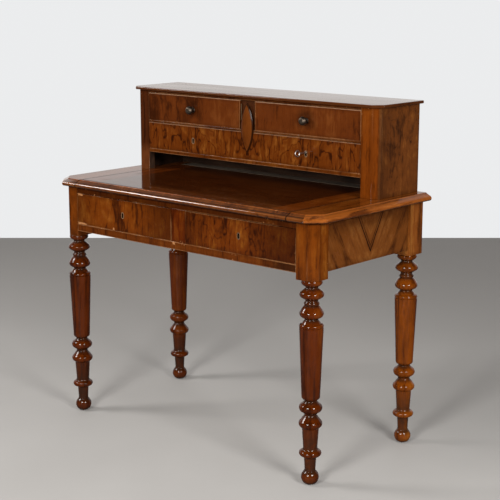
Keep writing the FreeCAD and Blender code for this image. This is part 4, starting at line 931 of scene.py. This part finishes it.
def soft_light(name, azimuth, elevation, reach, power, colour, width=0.9):
    """Square soft light aimed at the middle of the desk."""
    lamp = bpy.data.lights.new(name, "AREA")
    lamp.shape = "SQUARE"
    lamp.size = width
    lamp.energy = power
    lamp.color = colour
    light = bpy.data.objects.new(name, lamp)
    light.location = round_the_desk(azimuth, elevation, reach)
    light.rotation_euler = (DESK_MIDDLE - light.location).to_track_quat("-Z", "Y").to_euler()
    bpy.context.scene.collection.objects.link(light)


def floor_finish():
    """Pale plain floor with a faint cloudiness, darker where the polish mirrors it."""
    finish, w, shader = new_finish("pale_floor")
    here = w.place()
    cloud = w.noise(here, 1.6, 4.0, 0.6)
    pale = w.mix(cloud, shade(0.36, 0.352, 0.34), shade(0.43, 0.422, 0.41))
    mirrored = w.add("LightPath").outputs["Is Glossy Ray"]
    w.feed(shader.inputs["Base Color"], w.mix(mirrored, pale, shade(0.10, 0.095, 0.09)))
    w.feed(shader.inputs["Roughness"], w.between(cloud, 0.3, 0.7, 0.6, 0.75))
    return finish


ground = bmesh.new()
bmesh.ops.create_grid(ground, x_segments=1, y_segments=1, size=1.0)
bmesh.ops.scale(ground, verts=ground.verts, vec=(FLOOR_HALF_WIDTH, FLOOR_HALF_LENGTH, 1.0))
bmesh.ops.translate(ground, verts=ground.verts, vec=(0.0, -FLOOR_FORWARD, 0.0))
bmesh.ops.rotate(ground, verts=ground.verts, cent=(0, 0, 0), matrix=Matrix.Rotation(VIEW, 3, "Z"))
floor_mesh = bpy.data.meshes.new("floor")
ground.to_mesh(floor_mesh)
ground.free()
floor = bpy.data.objects.new("floor", floor_mesh)
floor_mesh.materials.append(floor_finish())
bpy.context.scene.collection.objects.link(floor)

soft_light("main_softbox", azimuth=16, elevation=18, reach=3.9, power=120, colour=(1.0, 0.985, 0.96))
soft_light("side_softbox", azimuth=72, elevation=20, reach=3.6, power=90, colour=(1.0, 0.98, 0.96))
soft_light("left_softbox", azimuth=-52, elevation=30, reach=3.4, power=60, colour=(1.0, 0.97, 0.95))

# A white wall behind the desk, a dim room round it and an even fill
world = bpy.data.worlds.new("white_room")
world.use_nodes = True
bpy.context.scene.world = world
room = Wiring(world.node_tree)
path = room.add("LightPath")
towards = room.add("TexCoord").outputs["Generated"]
facing = room.add("VectorMath", (towards, (-math.sin(VIEW), math.cos(VIEW), 0.0)), operation="DOT_PRODUCT")
rise = room.add("SeparateXYZ", (towards,)).outputs[2]
wall = room.math("MULTIPLY", room.between(facing.outputs["Value"], 0.3, 0.7, ROOM_GLOW, WALL_GLOW),
                 room.between(rise, 0.35, 0.7, 1.0, CEILING_SHARE))
seen = room.math("MAXIMUM", wall, room.math("MULTIPLY", path.outputs["Is Camera Ray"], WALL_GLOW))
filled = room.add("Mix", {0: path.outputs["Is Diffuse Ray"], 2: seen, 3: FILL}).outputs[0]
tint = room.mix(path.outputs["Is Camera Ray"], shade(1.0, 0.955, 0.925), shade(0.98, 0.99, 1.0))
room.feed(world.node_tree.nodes["Background"].inputs["Color"], tint)
room.feed(world.node_tree.nodes["Background"].inputs["Strength"], filled)
bpy.context.scene.view_settings.view_transform = "Standard"

lens = bpy.data.cameras.new("camera")
lens.sensor_width = SENSOR
lens.lens = FOCAL_PIXELS / PICTURE_PIXELS * SENSOR
camera = bpy.data.objects.new("camera", lens)
camera.location = CAMERA_PLACE
camera.rotation_euler = (math.pi / 2 - TILT, 0.0, VIEW)
bpy.context.scene.collection.objects.link(camera)
bpy.context.scene.camera = camera
